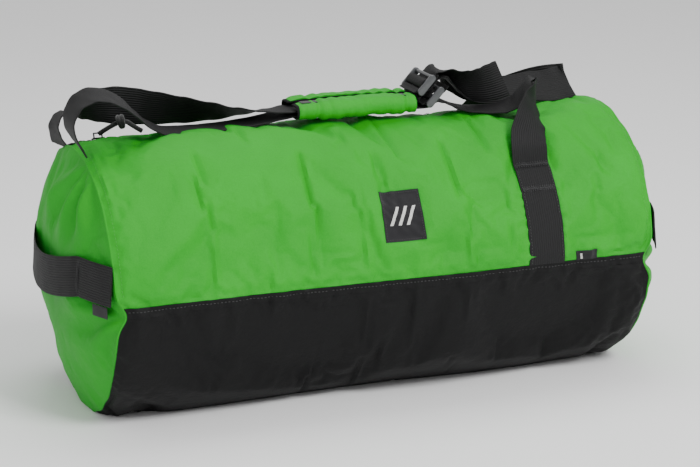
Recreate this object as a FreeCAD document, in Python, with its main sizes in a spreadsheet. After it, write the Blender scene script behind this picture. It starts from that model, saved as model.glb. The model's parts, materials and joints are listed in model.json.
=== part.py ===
import FreeCAD, Part
import math
import os

from FreeCAD import Placement, Rotation, Vector

# A barrel duffel, packed full, lying on its side. The bag's length runs along X, its front faces -Y, and the
# origin is on the floor under its middle. Every angle round the barrel is counted in degrees from the top,
# positive towards the front.

SIZES = [
    ("bag_length", 735.0, "end seam to end seam"),
    ("bag_radius", 175.0, "packed barrel"),
    ("floor_drop", 7.0, "how far the barrel settles on the floor"),
    ("end_bulge", 44.0, "how far each end panel swells past its seam"),
    ("fabric", 1.6, "fabric with its lining"),
    ("zip_angle", -20.0, "the zip lies a little behind the top"),
    ("half_span", 109.0, "angle from the zip to the edge of the base panel"),
    ("zip_half", 5.0, "half the angle that the zip takes"),
    ("zip_length", 690.0, "tape from tab to tab"),
    ("tooth_width", 2.6, "one side of the coil"),
    ("tooth_gap", 2.0, "room for the slider's web"),
    ("web_wide", 50.8, "two inch webbing"),
    ("web_thick", 2.0, "webbing"),
    ("lock_length", 32.0, "ladder lock along its rails"),
    ("lock_rail", 4.0, "rail width along the bars"),
    ("lock_thick", 7.0, "rail height"),
    ("lock_bar", 2.5, "bar radius"),
    ("lock_pitch", 13.0, "bar to bar"),
    ("grip_length", 166.0, "padded sleeve"),
    ("cord_radius", 2.2, "zip pull cord"),
    ("label_wide", 54.0, "front label along the bag"),
    ("label_tall", 65.0, "front label round the bag"),
]

doc = FreeCAD.newDocument("duffel_bag")
sheet = doc.addObject("Spreadsheet::Sheet", "Sizes")
for row, (alias, value, note) in enumerate(SIZES, start=1):
    sheet.set(f"A{row}", str(value))
    sheet.set(f"B{row}", note)
    sheet.setAlias(f"A{row}", alias)
doc.recompute()
SIZE = {alias: getattr(sheet, alias) for alias, value, note in SIZES}

LENGTH = SIZE["bag_length"]
RADIUS = SIZE["bag_radius"]
AXIS_Z = RADIUS - SIZE["floor_drop"]
FABRIC = SIZE["fabric"]
ZIP = SIZE["zip_angle"]
ZIP_HALF = SIZE["zip_half"]
FRONT_EDGE = ZIP + SIZE["half_span"]
BACK_EDGE = ZIP - SIZE["half_span"]
WEB = SIZE["web_wide"]
WEB_THICK = SIZE["web_thick"]
BULGE = SIZE["end_bulge"]
DOME_RADIUS = (RADIUS ** 2 + BULGE ** 2) / (2 * BULGE)
AXIS_Z_CELLS = "Sizes.bag_radius - Sizes.floor_drop"
DOME_CELLS = "(Sizes.bag_radius^2 + Sizes.end_bulge^2) / (2 * Sizes.end_bulge)"
ROOM = 2000.0          # longer than the bag, for cutting boxes
SEWN_GAP = 0.2         # between a sewn-on piece and what is under it
pieces = []


def around(degrees, radius=RADIUS, x=0.0):
    """A point of the barrel at an angle from the top."""
    turn = math.radians(degrees)
    return Vector(x, -radius * math.sin(turn), AXIS_Z + radius * math.cos(turn))


def keep(shape_object, label):
    """Name a finished sub-part."""
    shape_object.Label = label
    pieces.append(shape_object)
    return shape_object


def sector(name, radius_cells, first, last, start_x, length_cells):
    """A wedge of a cylinder lying along X, from one angle to another."""
    wedge = doc.addObject("Part::Cylinder", name)
    wedge.setExpression("Radius", radius_cells)
    wedge.setExpression("Height", length_cells)
    wedge.Angle = last - first
    turn = math.radians(first)
    to_first = Vector(0, -math.sin(turn), math.cos(turn))
    square_to_it = Vector(0, -math.cos(turn), -math.sin(turn))
    wedge.Placement = Placement(Vector(start_x, 0, AXIS_Z),
                                Rotation(to_first, square_to_it, Vector(1, 0, 0)))
    wedge.setExpression("Placement.Base.z", AXIS_Z_CELLS)
    return wedge


def above(name, height):
    """A large box whose underside is at a height."""
    box = doc.addObject("Part::Box", name)
    box.Length = box.Width = box.Height = ROOM
    box.Placement.Base = Vector(-ROOM / 2, -ROOM / 2, height)
    return box


def boolean(kind, name, first, second):
    """A Part::Cut, Part::Common or Part::Fuse of two objects."""
    result = doc.addObject(f"Part::{kind}", name)
    if kind == "Fuse":
        result.Base, result.Tool = first, second
    else:
        result.Base = first
        result.Tool = second
    return result


def sleeve(label, outer_cells, inner_cells, first, last, start_x, length_cells):
    """Part of a tube round the bag's axis, such as a panel or a label."""
    outer = sector(label + "_outer", outer_cells, first, last, start_x, length_cells)
    inner = sector(label + "_inner", inner_cells, 0, 360, start_x, length_cells)
    return boolean("Cut", label, outer, inner)


# ---- the shell ------------------------------------------------------------------------------------------

def side_panels():
    for label, first, last in (("front_panel", ZIP + ZIP_HALF, FRONT_EDGE),
                               ("back_panel", BACK_EDGE, ZIP - ZIP_HALF)):
        panel = sleeve(label, "Sizes.bag_radius", "Sizes.bag_radius - Sizes.fabric",
                       first, last, -LENGTH / 2, "Sizes.bag_length")
        keep(panel, label)


def base_panel():
    """The black panel: round, with a flat patch where it rests on the floor."""
    outer = sector("base_outer", "Sizes.bag_radius", FRONT_EDGE, BACK_EDGE + 360, -LENGTH / 2,
                   "Sizes.bag_length")
    inner = sector("base_inner", "Sizes.bag_radius - Sizes.fabric", 0, 360, -LENGTH / 2, "Sizes.bag_length")
    outside = boolean("Common", "base_outside", outer, above("base_floor", 0.0))
    inside = boolean("Common", "base_inside", inner, above("base_lining", FABRIC))
    keep(boolean("Cut", "base_panel", outside, inside), "base_panel")


def end_panels():
    """Round panels that swell into a shallow dome."""
    low = math.degrees(math.asin((DOME_RADIUS - BULGE) / DOME_RADIUS))
    for label, side in (("left_end_panel", -1), ("right_end_panel", 1)):
        caps = []
        for name, cells in (("outer", DOME_CELLS), ("inner", DOME_CELLS + " - Sizes.fabric")):
            cap = doc.addObject("Part::Sphere", f"{label}_{name}")
            cap.setExpression("Radius", cells)
            cap.Angle1 = low if name == "outer" else -90.0
            cap.Angle2 = 90.0
            centre = Vector(side * (LENGTH / 2 + BULGE - DOME_RADIUS), 0, AXIS_Z)
            cap.Placement = Placement(centre, Rotation(Vector(0, 0, 1), Vector(side, 0, 0)))
            caps.append(cap)
        shell = boolean("Cut", label + "_shell", *caps)
        keep(boolean("Common", label, shell, above(label + "_floor", 0.0)), label)


def seam_bindings():
    """Tape over the raw edges, inside both end seams."""
    tape_wide = 20.0
    tape_thick = 1.2
    for label, start_x in (("left_seam_binding", -LENGTH / 2 + 1), ("right_seam_binding",
                                                                  LENGTH / 2 - 1 - tape_wide)):
        ring = sleeve(label + "_ring", f"Sizes.bag_radius - Sizes.fabric - {SEWN_GAP}",
                      f"Sizes.bag_radius - Sizes.fabric - {SEWN_GAP + tape_thick}",
                      FRONT_EDGE - 360, FRONT_EDGE, start_x, str(tape_wide))
        keep(boolean("Common", label, ring, above(label + "_floor", FABRIC + SEWN_GAP)), label)


# ---- the zip --------------------------------------------------------------------------------------------

def on_zip(x, height=0.0):
    """The placement of a piece on the zip: its own Z stands away from the bag."""
    return Placement(around(ZIP, RADIUS + height, x), Rotation(Vector(1, 0, 0), ZIP))


def zip_tapes():
    """Two tapes, and the fabric tabs that close both their ends."""
    tape = "Sizes.bag_radius - 1.0"
    edge = math.degrees((SIZE["tooth_gap"] / 2) / RADIUS)
    zip_start = -SIZE["zip_length"] / 2
    for label, first, last in (("zip_tape_front", ZIP + edge, ZIP + ZIP_HALF),
                               ("zip_tape_back", ZIP - ZIP_HALF, ZIP - edge)):
        keep(sleeve(label, "Sizes.bag_radius", tape, first, last, zip_start, "Sizes.zip_length"), label)
    tab_length = "(Sizes.bag_length - Sizes.zip_length) / 2"
    for label, start_x in (("zip_end_tab_left", -LENGTH / 2), ("zip_end_tab_right", -zip_start)):
        keep(sleeve(label, "Sizes.bag_radius + 0.6", "Sizes.bag_radius - Sizes.fabric",
                    ZIP - ZIP_HALF, ZIP + ZIP_HALF, start_x, tab_length), label)


def zip_teeth():
    """One strip of coil on each tape."""
    for label, side in (("zip_teeth_front", -1), ("zip_teeth_back", 1)):
        strip = doc.addObject("Part::Box", label)
        strip.setExpression("Length", "Sizes.zip_length - 24")
        strip.setExpression("Width", "Sizes.tooth_width")
        strip.Height = 1.6
        inner_edge = SIZE["tooth_gap"] / 2
        low_y = inner_edge if side > 0 else -inner_edge - SIZE["tooth_width"]
        strip.Placement = on_zip(-(SIZE["zip_length"] - 24) / 2).multiply(
            Placement(Vector(0, low_y, 0.1), Rotation()))
        keep(strip, label)


def origin_plane(body, role):
    for feature in body.Origin.OriginFeatures:
        if feature.Role == role:
            return feature
    raise ValueError(role)


def new_sketch(body, name, role):
    sketch = body.newObject("Sketcher::SketchObject", name)
    sketch.AttachmentSupport = [(origin_plane(body, role), "")]
    sketch.MapMode = "FlatFace"
    return sketch


def draw_rectangle(sketch, width_cells, height_cells, width, height, centre=(0.0, 0.0)):
    """A rectangle whose width and height follow the sheet."""
    import Sketcher
    u, v = centre
    corners = [(u - width / 2, v - height / 2), (u + width / 2, v - height / 2),
               (u + width / 2, v + height / 2), (u - width / 2, v + height / 2)]
    first = sketch.GeometryCount
    for start, end in zip(corners, corners[1:] + corners[:1]):
        sketch.addGeometry(Part.LineSegment(Vector(*start, 0), Vector(*end, 0)), False)
    for side in range(4):
        sketch.addConstraint(Sketcher.Constraint("Coincident", first + side, 2, first + (side + 1) % 4, 1))
    for side, kind in enumerate(("Horizontal", "Vertical", "Horizontal", "Vertical")):
        sketch.addConstraint(Sketcher.Constraint(kind, first + side))
    sketch.addConstraint(Sketcher.Constraint("DistanceX", -1, 1, first, 1, corners[0][0]))
    sketch.addConstraint(Sketcher.Constraint("DistanceY", -1, 1, first, 1, corners[0][1]))
    across = sketch.addConstraint(Sketcher.Constraint("DistanceX", first, 1, first, 2, width))
    up = sketch.addConstraint(Sketcher.Constraint("DistanceY", first + 1, 1, first + 1, 2, height))
    sketch.setExpression(f"Constraints[{across}]", width_cells)
    sketch.setExpression(f"Constraints[{up}]", height_cells)


def draw_circle(sketch, centre, radius_cells, radius):
    import Sketcher
    index = sketch.addGeometry(Part.Circle(Vector(*centre, 0), Vector(0, 0, 1), radius), False)
    size = sketch.addConstraint(Sketcher.Constraint("Radius", index, radius))
    sketch.setExpression(f"Constraints[{size}]", radius_cells)
    sketch.addConstraint(Sketcher.Constraint("DistanceX", -1, 1, index, 3, centre[0]))
    sketch.addConstraint(Sketcher.Constraint("DistanceY", -1, 1, index, 3, centre[1]))


def pad(body, sketch, name, length_cells, both_ways=True):
    feature = body.newObject("PartDesign::Pad", name)
    feature.Profile = sketch
    feature.SideType = "Symmetric" if both_ways else "One side"
    feature.setExpression("Length", length_cells)
    return feature


def zip_slider():
    """A plate on each side of the coil, a web between its halves, and a bridge that takes the cord."""
    plate_thick = 1.5
    over = 2.3             # the upper plate's underside, above the tape
    under = -3.2           # the lower plate's underside
    body = doc.addObject("PartDesign::Body", "zip_slider")
    profile = new_sketch(body, "slider_section", "YZ_Plane")
    draw_rectangle(profile, "Sizes.tooth_gap * 5", str(plate_thick), SIZE["tooth_gap"] * 5, plate_thick,
                   (0.0, over + plate_thick / 2))
    pad(body, profile, "upper_plate", "16")
    web = new_sketch(body, "slider_web", "YZ_Plane")
    draw_rectangle(web, "Sizes.tooth_gap - 0.9", str(over - under), SIZE["tooth_gap"] - 0.9, over - under,
                   (0.0, (over + under) / 2))
    pad(body, web, "web", "7")
    lower = new_sketch(body, "slider_lower", "YZ_Plane")
    draw_rectangle(lower, "Sizes.tooth_gap * 5", str(plate_thick), SIZE["tooth_gap"] * 5, plate_thick,
                   (0.0, under - plate_thick / 2 + 0.2))
    pad(body, lower, "lower_plate", "16")
    bridge = new_sketch(body, "slider_bridge", "XZ_Plane")
    top = over + plate_thick
    draw_rectangle(bridge, "12.6", "6.8", 12.6, 6.8, (0.0, top + 3.3))
    draw_rectangle(bridge, "9", "5", 9.0, 5.0, (0.0, top + 2.6))
    pad(body, bridge, "bridge", "3")
    slider_x = -SIZE["zip_length"] / 2 + 22
    body.Placement = on_zip(slider_x)
    keep(body, "zip_slider")


def zip_stops():
    """Crimped stops at both ends of the coil."""
    for label, side in (("zip_stop_left", -1), ("zip_stop_right", 1)):
        body = doc.addObject("PartDesign::Body", label)
        block = new_sketch(body, label + "_block", "XY_Plane")
        draw_rectangle(block, "5", "Sizes.tooth_gap + 2 * Sizes.tooth_width", 5.0,
                       SIZE["tooth_gap"] + 2 * SIZE["tooth_width"])
        pad(body, block, label + "_pad", "1.9", both_ways=False)
        stop_x = side * (SIZE["zip_length"] / 2 - 12 + 3.2)
        body.Placement = on_zip(stop_x, 0.1)
        keep(body, label)


# ---- webbing --------------------------------------------------------------------------------------------

def ribbon(label, stations, thick=WEB_THICK):
    """Webbing through stations, each a centre, the direction of its width and its width."""
    centres = [Vector(*place) for place, across, width in stations]
    sections = []
    last_across = Vector(*stations[0][1])
    for index, (place, across, width) in enumerate(stations):
        before = centres[max(index - 1, 0)]
        after = centres[min(index + 1, len(centres) - 1)]
        along = (after - before).normalize()
        across = Vector(*across)
        across = (across - along * across.dot(along)).normalize()
        if across.dot(last_across) < 0:
            across = -across
        last_across = across
        face = along.cross(across).normalize()
        half, rise = across * (width / 2), face * (thick / 2)
        middle = centres[index]
        section = [middle - half - rise, middle + half - rise, middle + half + rise, middle - half + rise]
        sections.append(section)
    faces = [Part.Face(Part.makePolygon(ends + ends[:1])) for ends in (sections[0], sections[-1])]
    # Opposite sides are split along parallel diagonals, so that a twist keeps the webbing's full thickness.
    for here, there in zip(sections, sections[1:]):
        for corner in range(4):
            following = (corner + 1) % 4
            if corner < 2:
                triangles = ((here[corner], there[corner], there[following]),
                             (here[corner], there[following], here[following]))
            else:
                triangles = ((here[corner], there[corner], here[following]),
                             (there[corner], there[following], here[following]))
            for triangle in triangles:
                faces.append(Part.Face(Part.makePolygon(triangle + triangle[:1])))
    shell = Part.makeShell(faces)
    shell.sewShape()
    solid = Part.makeSolid(shell)
    if solid.Volume < 0:
        solid.reverse()
    feature = doc.addObject("Part::Feature", label)
    feature.Shape = solid
    return keep(feature, label)


def sewn(first, last, x):
    """Stations on the barrel, with the width along the bag."""
    steps = 12
    places = []
    for step in range(steps + 1):
        angle = first + (last - first) * step / steps
        place = around(angle, RADIUS + SEWN_GAP + WEB_THICK / 2, x)
        places.append((tuple(place), (1, 0, 0), WEB))
    return places


def at_lock(centre, along, height):
    """A point beside a ladder lock: along its rails and square to them."""
    tilt = math.radians(LOCK_TILT)
    x = centre[0] + along * math.cos(tilt) - height * math.sin(tilt)
    z = centre[2] + along * math.sin(tilt) + height * math.cos(tilt)
    return ((x, centre[1], z), (0, 1, 0), WEB)


ANCHOR_X = 212.0       # middle of the webbing sewn to the front and to the back
LOCK_TILT = 48.0
FRONT_LOCK = (117.0, 8.0, 370.6)
REAR_LOCK = (107.0, 14.0, 386.4)

# The webbing comes in under the lock, goes up over the middle bar and down again as the tail.
OVER_MIDDLE_BAR = [(-1.5, -8.6), (-5.6, -6.2), (-6.8, -1.8), (-6.0, 2.6), (-3.0, 5.3), (0.8, 5.9),
                   (4.2, 4.6), (6.4, 1.2), (7.2, -2.6), (9.4, -5.6), (13.4, -6.7)]
TAIL = [(18.0, -6.8), (23.5, -6.4)]


def carry_straps():
    front = sewn(FRONT_EDGE - 0.5, 43.0, ANCHOR_X)
    front += [
        ((212, -113, 315), (1, 0, 0), WEB),
        ((216, -102, 328), (0.99, 0.10, -0.05), WEB),
        ((226, -87, 343), (0.92, 0.32, -0.20), WEB),
        ((237, -67, 360), (0.72, 0.66, -0.22), WEB),
        ((246, -55, 374), (0.50, 0.85, -0.15), WEB),
        ((250, -48, 384), (0.32, 0.94, -0.05), WEB),
        ((248.5, -45, 388.5), (0.25, 0.97, 0.00), WEB),
        ((244.5, -43, 386.5), (0.25, 0.97, 0.00), WEB),
        ((240, -39, 377), (0.20, 0.98, 0.00), WEB),
        ((233, -33, 364), (0.12, 0.99, 0.00), WEB),
        ((222, -25, 353.5), (0.05, 1.00, 0.00), WEB),
        ((205, -17, 348.5), (0, 1, 0), WEB),
        ((182, -8, 347.6), (0, 1, 0), WEB),
        ((160, 1, 350), (0, 1, 0), WEB),
        ((147, 6, 355), (0, 1, 0), WEB),
        ((136, 8, 360), (0, 1, 0), WEB),
        ((128, 8, 362), (0, 1, 0), WEB),
    ]
    front += [at_lock(FRONT_LOCK, *step) for step in OVER_MIDDLE_BAR + TAIL]
    ribbon("front_strap_right", front)

    rear = sewn(BACK_EDGE + 0.5, -83.0, ANCHOR_X)
    rear += [
        ((216, 169, 232), (1, 0, 0), WEB),
        ((224, 157, 270), (0.98, 0.00, -0.10), WEB),
        ((240, 137, 305), (0.93, 0.00, -0.30), WEB),
        ((262, 110, 333), (0.80, -0.10, -0.55), WEB),
        ((287, 82, 354), (0.60, -0.25, -0.75), WEB),
        ((309, 57, 366), (0.40, -0.45, -0.80), WEB),
        ((325, 43, 370), (0.28, -0.58, -0.76), WEB),
        ((333, 36, 371.5), (0.28, -0.58, -0.76), WEB),
        ((336, 31, 373), (0.28, -0.58, -0.76), WEB),
        ((333, 27, 373.5), (0.24, -0.60, -0.76), WEB),
        ((322, 24, 373), (0.18, -0.64, -0.74), WEB),
        ((303, 22, 370), (0.08, -0.70, -0.70), WEB),
        ((279, 25, 365), (0.00, -0.76, -0.65), WEB),
        ((252, 31, 361.5), (0.00, -0.80, -0.60), WEB),
        ((226, 38, 361), (0.00, -0.85, -0.53), WEB),
        ((200, 40, 362), (0.00, -0.85, -0.53), WEB),
        ((176, 34, 369), (0.00, -0.90, -0.44), WEB),
        ((158, 24, 379), (0.00, -0.95, -0.30), WEB),
        ((145, 17, 389), (0.00, -0.98, -0.15), WEB),
        ((134, 14, 395.5), (0.00, -1.00, 0.00), WEB),
    ]
    rear += [at_lock(REAR_LOCK, *step) for step in [(15.0, -9.2), (6.0, -9.2)] + OVER_MIDDLE_BAR + TAIL]
    rear += [
        ((133.5, 12, 402.5), (0, 1, 0), WEB),
        ((146, 10, 401), (0, 0.95, -0.30), WEB),
        ((163, 10, 393), (0, 0.75, -0.65), WEB),
        ((185, 9, 385), (0, 0.50, -0.86), WEB),
        ((208, 8, 381.5), (0.15, 0.45, -0.88), WEB),
        ((230, 8, 381), (0.30, 0.40, -0.86), WEB),
    ]
    ribbon("rear_strap_right", rear)

    front_left = [
        ((-368.5, -41, 341.5), (0, 0.975, 0.22), WEB),
        ((-379, -41, 357), (0, 1, 0.1), WEB),
        ((-386, -40, 376), (0, 1, 0.1), WEB),
        ((-380, -37, 396), (0, 1, 0.12), WEB),
        ((-364, -33, 408), (0, 1, 0.15), WEB),
        ((-344, -28, 410), (0, 1, 0.18), WEB),
        ((-322, -22, 402), (0, 1, 0.2), WEB),
        ((-302, -14, 388), (0, 1, 0.2), WEB),
        ((-284, -5, 371), (0, 1, 0.15), WEB),
        ((-264, 4, 356), (0, 1, 0.1), WEB),
        ((-240, 10, 348.5), (0, 1, 0), WEB),
        ((-205, 12, 347), (0, 1, 0), WEB),
        ((-165, 11, 348), (0, 1, 0), WEB),
        ((-125, 9, 352), (0, 1, 0), WEB),
        ((-92, 8, 357), (0, 1, 0), WEB),
        ((-60, 8, 359), (0, 1, 0), WEB),
        ((70, 8, 357.5), (0, 1, 0), WEB),
        ((92, 8, 356.6), (0, 1, 0), WEB),
    ]
    ribbon("front_strap_left", front_left + loop_round_bar(FRONT_LOCK, -90))

    rear_left = [
        ((-374, 82, 331), (0, 0.89, -0.457), WEB),
        ((-376, 80, 343), (0, 0.93, -0.37), WEB),
        ((-374, 79, 357), (0, 0.97, -0.20), WEB),
        ((-366, 78, 367), (0, 0.97, -0.20), WEB),
        ((-353, 77, 372), (0, 0.85, -0.50), WEB),
        ((-335, 76, 374), (0, 0.60, -0.80), WEB),
        ((-315, 75, 374.5), (0, 0.30, -0.95), WEB),
        ((-295, 75, 373), (0, 0.08, -1.00), WEB),
        ((-272, 73, 370), (0, 0.15, -0.99), WEB),
        ((-246, 69, 366.5), (0, 0.35, -0.94), WEB),
        ((-210, 60, 363), (0, 0.60, -0.80), WEB),
        ((-175, 46, 361.5), (0, 0.80, -0.60), WEB),
        ((-142, 30, 362), (0, 0.93, -0.36), WEB),
        ((-112, 16, 363.5), (0, 0.98, -0.15), WEB),
        ((-88, 9, 365), (0, 1, 0), WEB),
        ((-60, 8, 364.5), (0, 1, 0), WEB),
        ((70, 8, 363.8), (0, 1, 0), WEB),
        ((88, 10, 365.5), (0, 1, 0), WEB),
    ]
    ribbon("rear_strap_left", rear_left + loop_round_bar(REAR_LOCK, -60))


def loop_round_bar(centre, start):
    """The end of a left strap: round the lock's fixed bar and back on itself."""
    bar_x, bar_z = fixed_bar(centre)
    middle_y = centre[1]
    turn_radius = SIZE["lock_bar"] + 0.5 + WEB_THICK / 2
    places = []
    for degrees in range(start, 151, 30):
        turn = math.radians(degrees)
        places.append(((bar_x + turn_radius * math.cos(turn), middle_y, bar_z + turn_radius * math.sin(turn)),
                       (0, 1, 0), WEB))
    places.append(((bar_x - 8.5, middle_y, bar_z), (0, 1, 0), WEB))
    return places


def fixed_bar(centre):
    """The axis of a lock's fixed bar, in the XZ plane."""
    place, across, width = at_lock(centre, -SIZE["lock_pitch"], 0.0)
    return place[0], place[2]


def ladder_locks():
    """Two rails and three bars, moulded in one piece, lying along the lock's own X."""
    import Sketcher
    wide = "Sizes.web_wide + 1.6 + 2 * Sizes.lock_rail"
    for label, centre in (("front_ladder_lock", FRONT_LOCK), ("rear_ladder_lock", REAR_LOCK)):
        body = doc.addObject("PartDesign::Body", label)
        rails = new_sketch(body, label + "_side", "XZ_Plane")
        length, thick = SIZE["lock_length"], SIZE["lock_thick"]
        reach = length / 2 - thick / 2
        half = thick / 2
        lines = [((-reach, half), (reach, half)), ((reach, -half), (-reach, -half))]
        for start, end in lines:
            rails.addGeometry(Part.LineSegment(Vector(*start, 0), Vector(*end, 0)), False)
        up, down = math.pi / 2, 3 * math.pi / 2
        rails.addGeometry(Part.ArcOfCircle(Part.Circle(Vector(reach, 0, 0), Vector(0, 0, 1), half),
                                           -up, up), False)
        rails.addGeometry(Part.ArcOfCircle(Part.Circle(Vector(-reach, 0, 0), Vector(0, 0, 1), half),
                                           up, down), False)
        for first, first_end, second, second_end in ((0, 2, 2, 2), (2, 1, 1, 1), (1, 2, 3, 2), (3, 1, 0, 1)):
            rails.addConstraint(Sketcher.Constraint("Coincident", first, first_end, second, second_end))
        for line in (0, 1):
            rails.addConstraint(Sketcher.Constraint("Horizontal", line))
        pad(body, rails, label + "_block", wide)
        slots = new_sketch(body, label + "_slots", "XZ_Plane")
        draw_rectangle(slots, "Sizes.lock_length + 10", "Sizes.lock_thick + 10", length + 10, thick + 10)
        for bar in (-1, 0, 1):
            draw_circle(slots, (bar * SIZE["lock_pitch"], 0.0), "Sizes.lock_bar", SIZE["lock_bar"])
        pocket = body.newObject("PartDesign::Pocket", label + "_pocket")
        pocket.Profile = slots
        pocket.SideType = "Symmetric"
        pocket.setExpression("Length", "Sizes.web_wide + 1.6")
        body.Placement = Placement(Vector(*centre), Rotation(Vector(0, 1, 0), -LOCK_TILT))
        keep(body, label)


def dome_point(side, y, z, stand_off):
    """A point over an end panel, at a distance from its fabric."""
    flat = math.hypot(y, z - AXIS_Z)
    reach = DOME_RADIUS + stand_off
    x = LENGTH / 2 + BULGE - DOME_RADIUS + math.sqrt(reach ** 2 - flat ** 2)
    return (side * x, y, z)


def dome_rise(side, y, z):
    """The direction over an end panel that climbs straight up its fabric."""
    low = Vector(*dome_point(side, y, z - 1, 0))
    high = Vector(*dome_point(side, y, z + 1, 0))
    return tuple(high - low)


def end_handles():
    """Webbing sewn flat near both seams and free in the middle, where a hand goes in."""
    handle_z = 200.0
    flat = 1.2 + WEB_THICK / 2
    lift = 10.0
    droop = 16.0
    for label, side in (("left_end_handle", -1), ("right_end_handle", 1)):
        stations = []
        for y in (-168, -146, -124, -104, -84, -60, -30, 0, 30, 60, 84, 104, 124, 146, 168):
            free = 0.0 if abs(y) >= 104 else math.cos(math.radians(90 * abs(y) / 104))
            z = handle_z - droop * free
            stations.append((dome_point(side, y, z, flat + lift * free ** 0.7), dome_rise(side, y, z), WEB))
        ribbon(label, stations)


def end_label():
    """A small woven label that hangs under the left handle."""
    label_tall = 15.0
    stations = [(dome_point(-1, y, 165.0, 0.8), (0, 0, 1), label_tall) for y in (-160, -147, -134)]
    ribbon("end_label", stations, 0.8)


def side_labels():
    """The front label, and the small flag sewn in above the base panel."""
    half_tall = math.degrees(SIZE["label_tall"] / 2 / RADIUS)
    middle = 62.0
    keep(sleeve("front_label", "Sizes.bag_radius + 1.2", f"Sizes.bag_radius + {SEWN_GAP}",
                middle - half_tall, middle + half_tall, -11.0, "Sizes.label_wide"), "front_label")
    keep(sleeve("side_label", "Sizes.bag_radius + 1.0", f"Sizes.bag_radius + {SEWN_GAP}",
                FRONT_EDGE - 4.2, FRONT_EDGE - 0.3, 256.0, "30"), "side_label")


# ---- the grip -------------------------------------------------------------------------------------------

GRIP_START = -78.0
GRIP_LOW = 351.0
GRIP_ROLL = 13.0
GRIP_FRONT_Y = -16.0
GRIP_REAR_Y = 32.0
FLAP_HINGE_Y = 22.0


def grip_section(label, side, roll_y, low_end_y, high_end_y, outer, inner):
    """A C-shaped strip: along the bottom, round one roll and back along the top."""
    middle_z = GRIP_LOW + GRIP_ROLL
    body = doc.addObject("PartDesign::Body", label)
    sketch = new_sketch(body, label + "_section", "YZ_Plane")
    up = math.pi / 2
    turn = (up, 3 * up) if side < 0 else (-up, up)
    places = []
    for radius in (outer, inner):
        circle = Part.Circle(Vector(roll_y, 0, 0), Vector(0, 0, 1), radius)
        sketch.addGeometry(Part.ArcOfCircle(circle, *turn), False)
        places.append([(low_end_y, -radius), (roll_y, -radius), (roll_y, radius), (high_end_y, radius)])
    for path in places:
        sketch.addGeometry(Part.LineSegment(Vector(*path[0], 0), Vector(*path[1], 0)), False)
        sketch.addGeometry(Part.LineSegment(Vector(*path[2], 0), Vector(*path[3], 0)), False)
    for end in (0, 3):
        sketch.addGeometry(Part.LineSegment(Vector(*places[0][end], 0), Vector(*places[1][end], 0)), False)
    feature = pad(body, sketch, label + "_pad", "Sizes.grip_length", both_ways=False)
    body.Placement = Placement(Vector(GRIP_START, 0, middle_z), Rotation())
    return keep(body, label)


def grip():
    """The padded sleeve: a fixed front half and a flap, each a cover over foam, with hook and loop."""
    cover = 1.2
    foam = 3.6
    lip_front_y, lip_rear_y = 0.0, 15.0
    roll = GRIP_ROLL
    grip_section("grip_cover", -1, GRIP_FRONT_Y, FLAP_HINGE_Y - 0.4, lip_front_y, roll, roll - cover)
    grip_section("grip_foam", -1, GRIP_FRONT_Y, FLAP_HINGE_Y - 0.4, lip_front_y,
                 roll - cover - 0.05, roll - foam)
    grip_section("grip_flap", 1, GRIP_REAR_Y, FLAP_HINGE_Y + 0.4, lip_rear_y, roll, roll - cover)
    grip_section("flap_foam", 1, GRIP_REAR_Y, FLAP_HINGE_Y + 0.4, lip_rear_y,
                 roll - cover - 0.05, roll - foam)
    middle_z = GRIP_LOW + GRIP_ROLL
    for label, low_y, low_z in (("hook_strip", GRIP_FRONT_Y + 1, middle_z + roll + 0.05),
                                ("loop_strip", lip_rear_y + 1, middle_z + roll - foam - 1.1)):
        strip = doc.addObject("Part::Box", label)
        strip.setExpression("Length", "Sizes.grip_length - 20")
        strip.Width = 14.0
        strip.Height = 1.0
        strip.Placement.Base = Vector(GRIP_START + 10, low_y, low_z)
        keep(strip, label)


# ---- the zip pull ---------------------------------------------------------------------------------------

CORD_ROUTE = [(-322.0, 61.0, 339.5), (-309.0, 56.0, 349.0), (-290.0, 51.0, 358.0), (-280.0, 50.5, 350.0),
              (-267.0, 50.0, 341.5)]
KNOT_GAP = 0.4         # between the knot's turn and the cord it is tied round
KNOT_ALONG = 0.55      # share of the cord's second run before the knot


def rounded_path(points):
    """Straight runs joined by tangent arcs, as large as the runs allow."""
    points = [Vector(*point) for point in points]
    edges = []
    start = points[0]
    for before, corner, after in zip(points, points[1:], points[2:]):
        incoming = (corner - before).normalize()
        outgoing = (after - corner).normalize()
        turn = incoming.getAngle(outgoing)
        shorter = min((corner - before).Length, (after - corner).Length)
        radius = 0.45 * shorter / math.tan(turn / 2)
        trim = 0.45 * shorter
        first, last = corner - incoming * trim, corner + outgoing * trim
        inward = (outgoing - incoming).normalize()
        middle = corner + inward * (radius / math.cos(turn / 2) - radius)
        edges.append(Part.LineSegment(start, first).toShape())
        edges.append(Part.Arc(first, middle, last).toShape())
        print(f"cord arc radius {radius:.1f} mm, turn {math.degrees(turn):.0f} degrees")
        start = last
    edges.append(Part.LineSegment(start, points[-1]).toShape())
    return Part.Wire(edges)


def pull_cord():
    """A cord tied to the slider's bridge, its knot, and the end beyond the knot."""
    path = rounded_path(CORD_ROUTE)
    radius = SIZE["cord_radius"]
    start = Vector(*CORD_ROUTE[0])
    direction = (Vector(*CORD_ROUTE[1]) - start).normalize()
    profile = Part.Wire([Part.makeCircle(radius, start, direction)])
    tube = path.makePipeShell([profile], True, False)
    expected = math.pi * radius ** 2 * path.Length
    print(f"cord length {path.Length:.1f} mm, volume {tube.Volume / expected:.4f} of section times length")
    cord = doc.addObject("Part::Feature", "pull_cord")
    cord.Shape = tube
    keep(cord, "pull_cord")
    knot = doc.addObject("Part::Torus", "pull_knot")
    knot.Radius2 = radius
    knot.Radius1 = 2 * radius + KNOT_GAP
    before, after = Vector(*CORD_ROUTE[1]), Vector(*CORD_ROUTE[2])
    knot.Placement = Placement(before + (after - before) * KNOT_ALONG, Rotation(Vector(0, 0, 1), after - before))
    keep(knot, "pull_knot")


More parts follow.
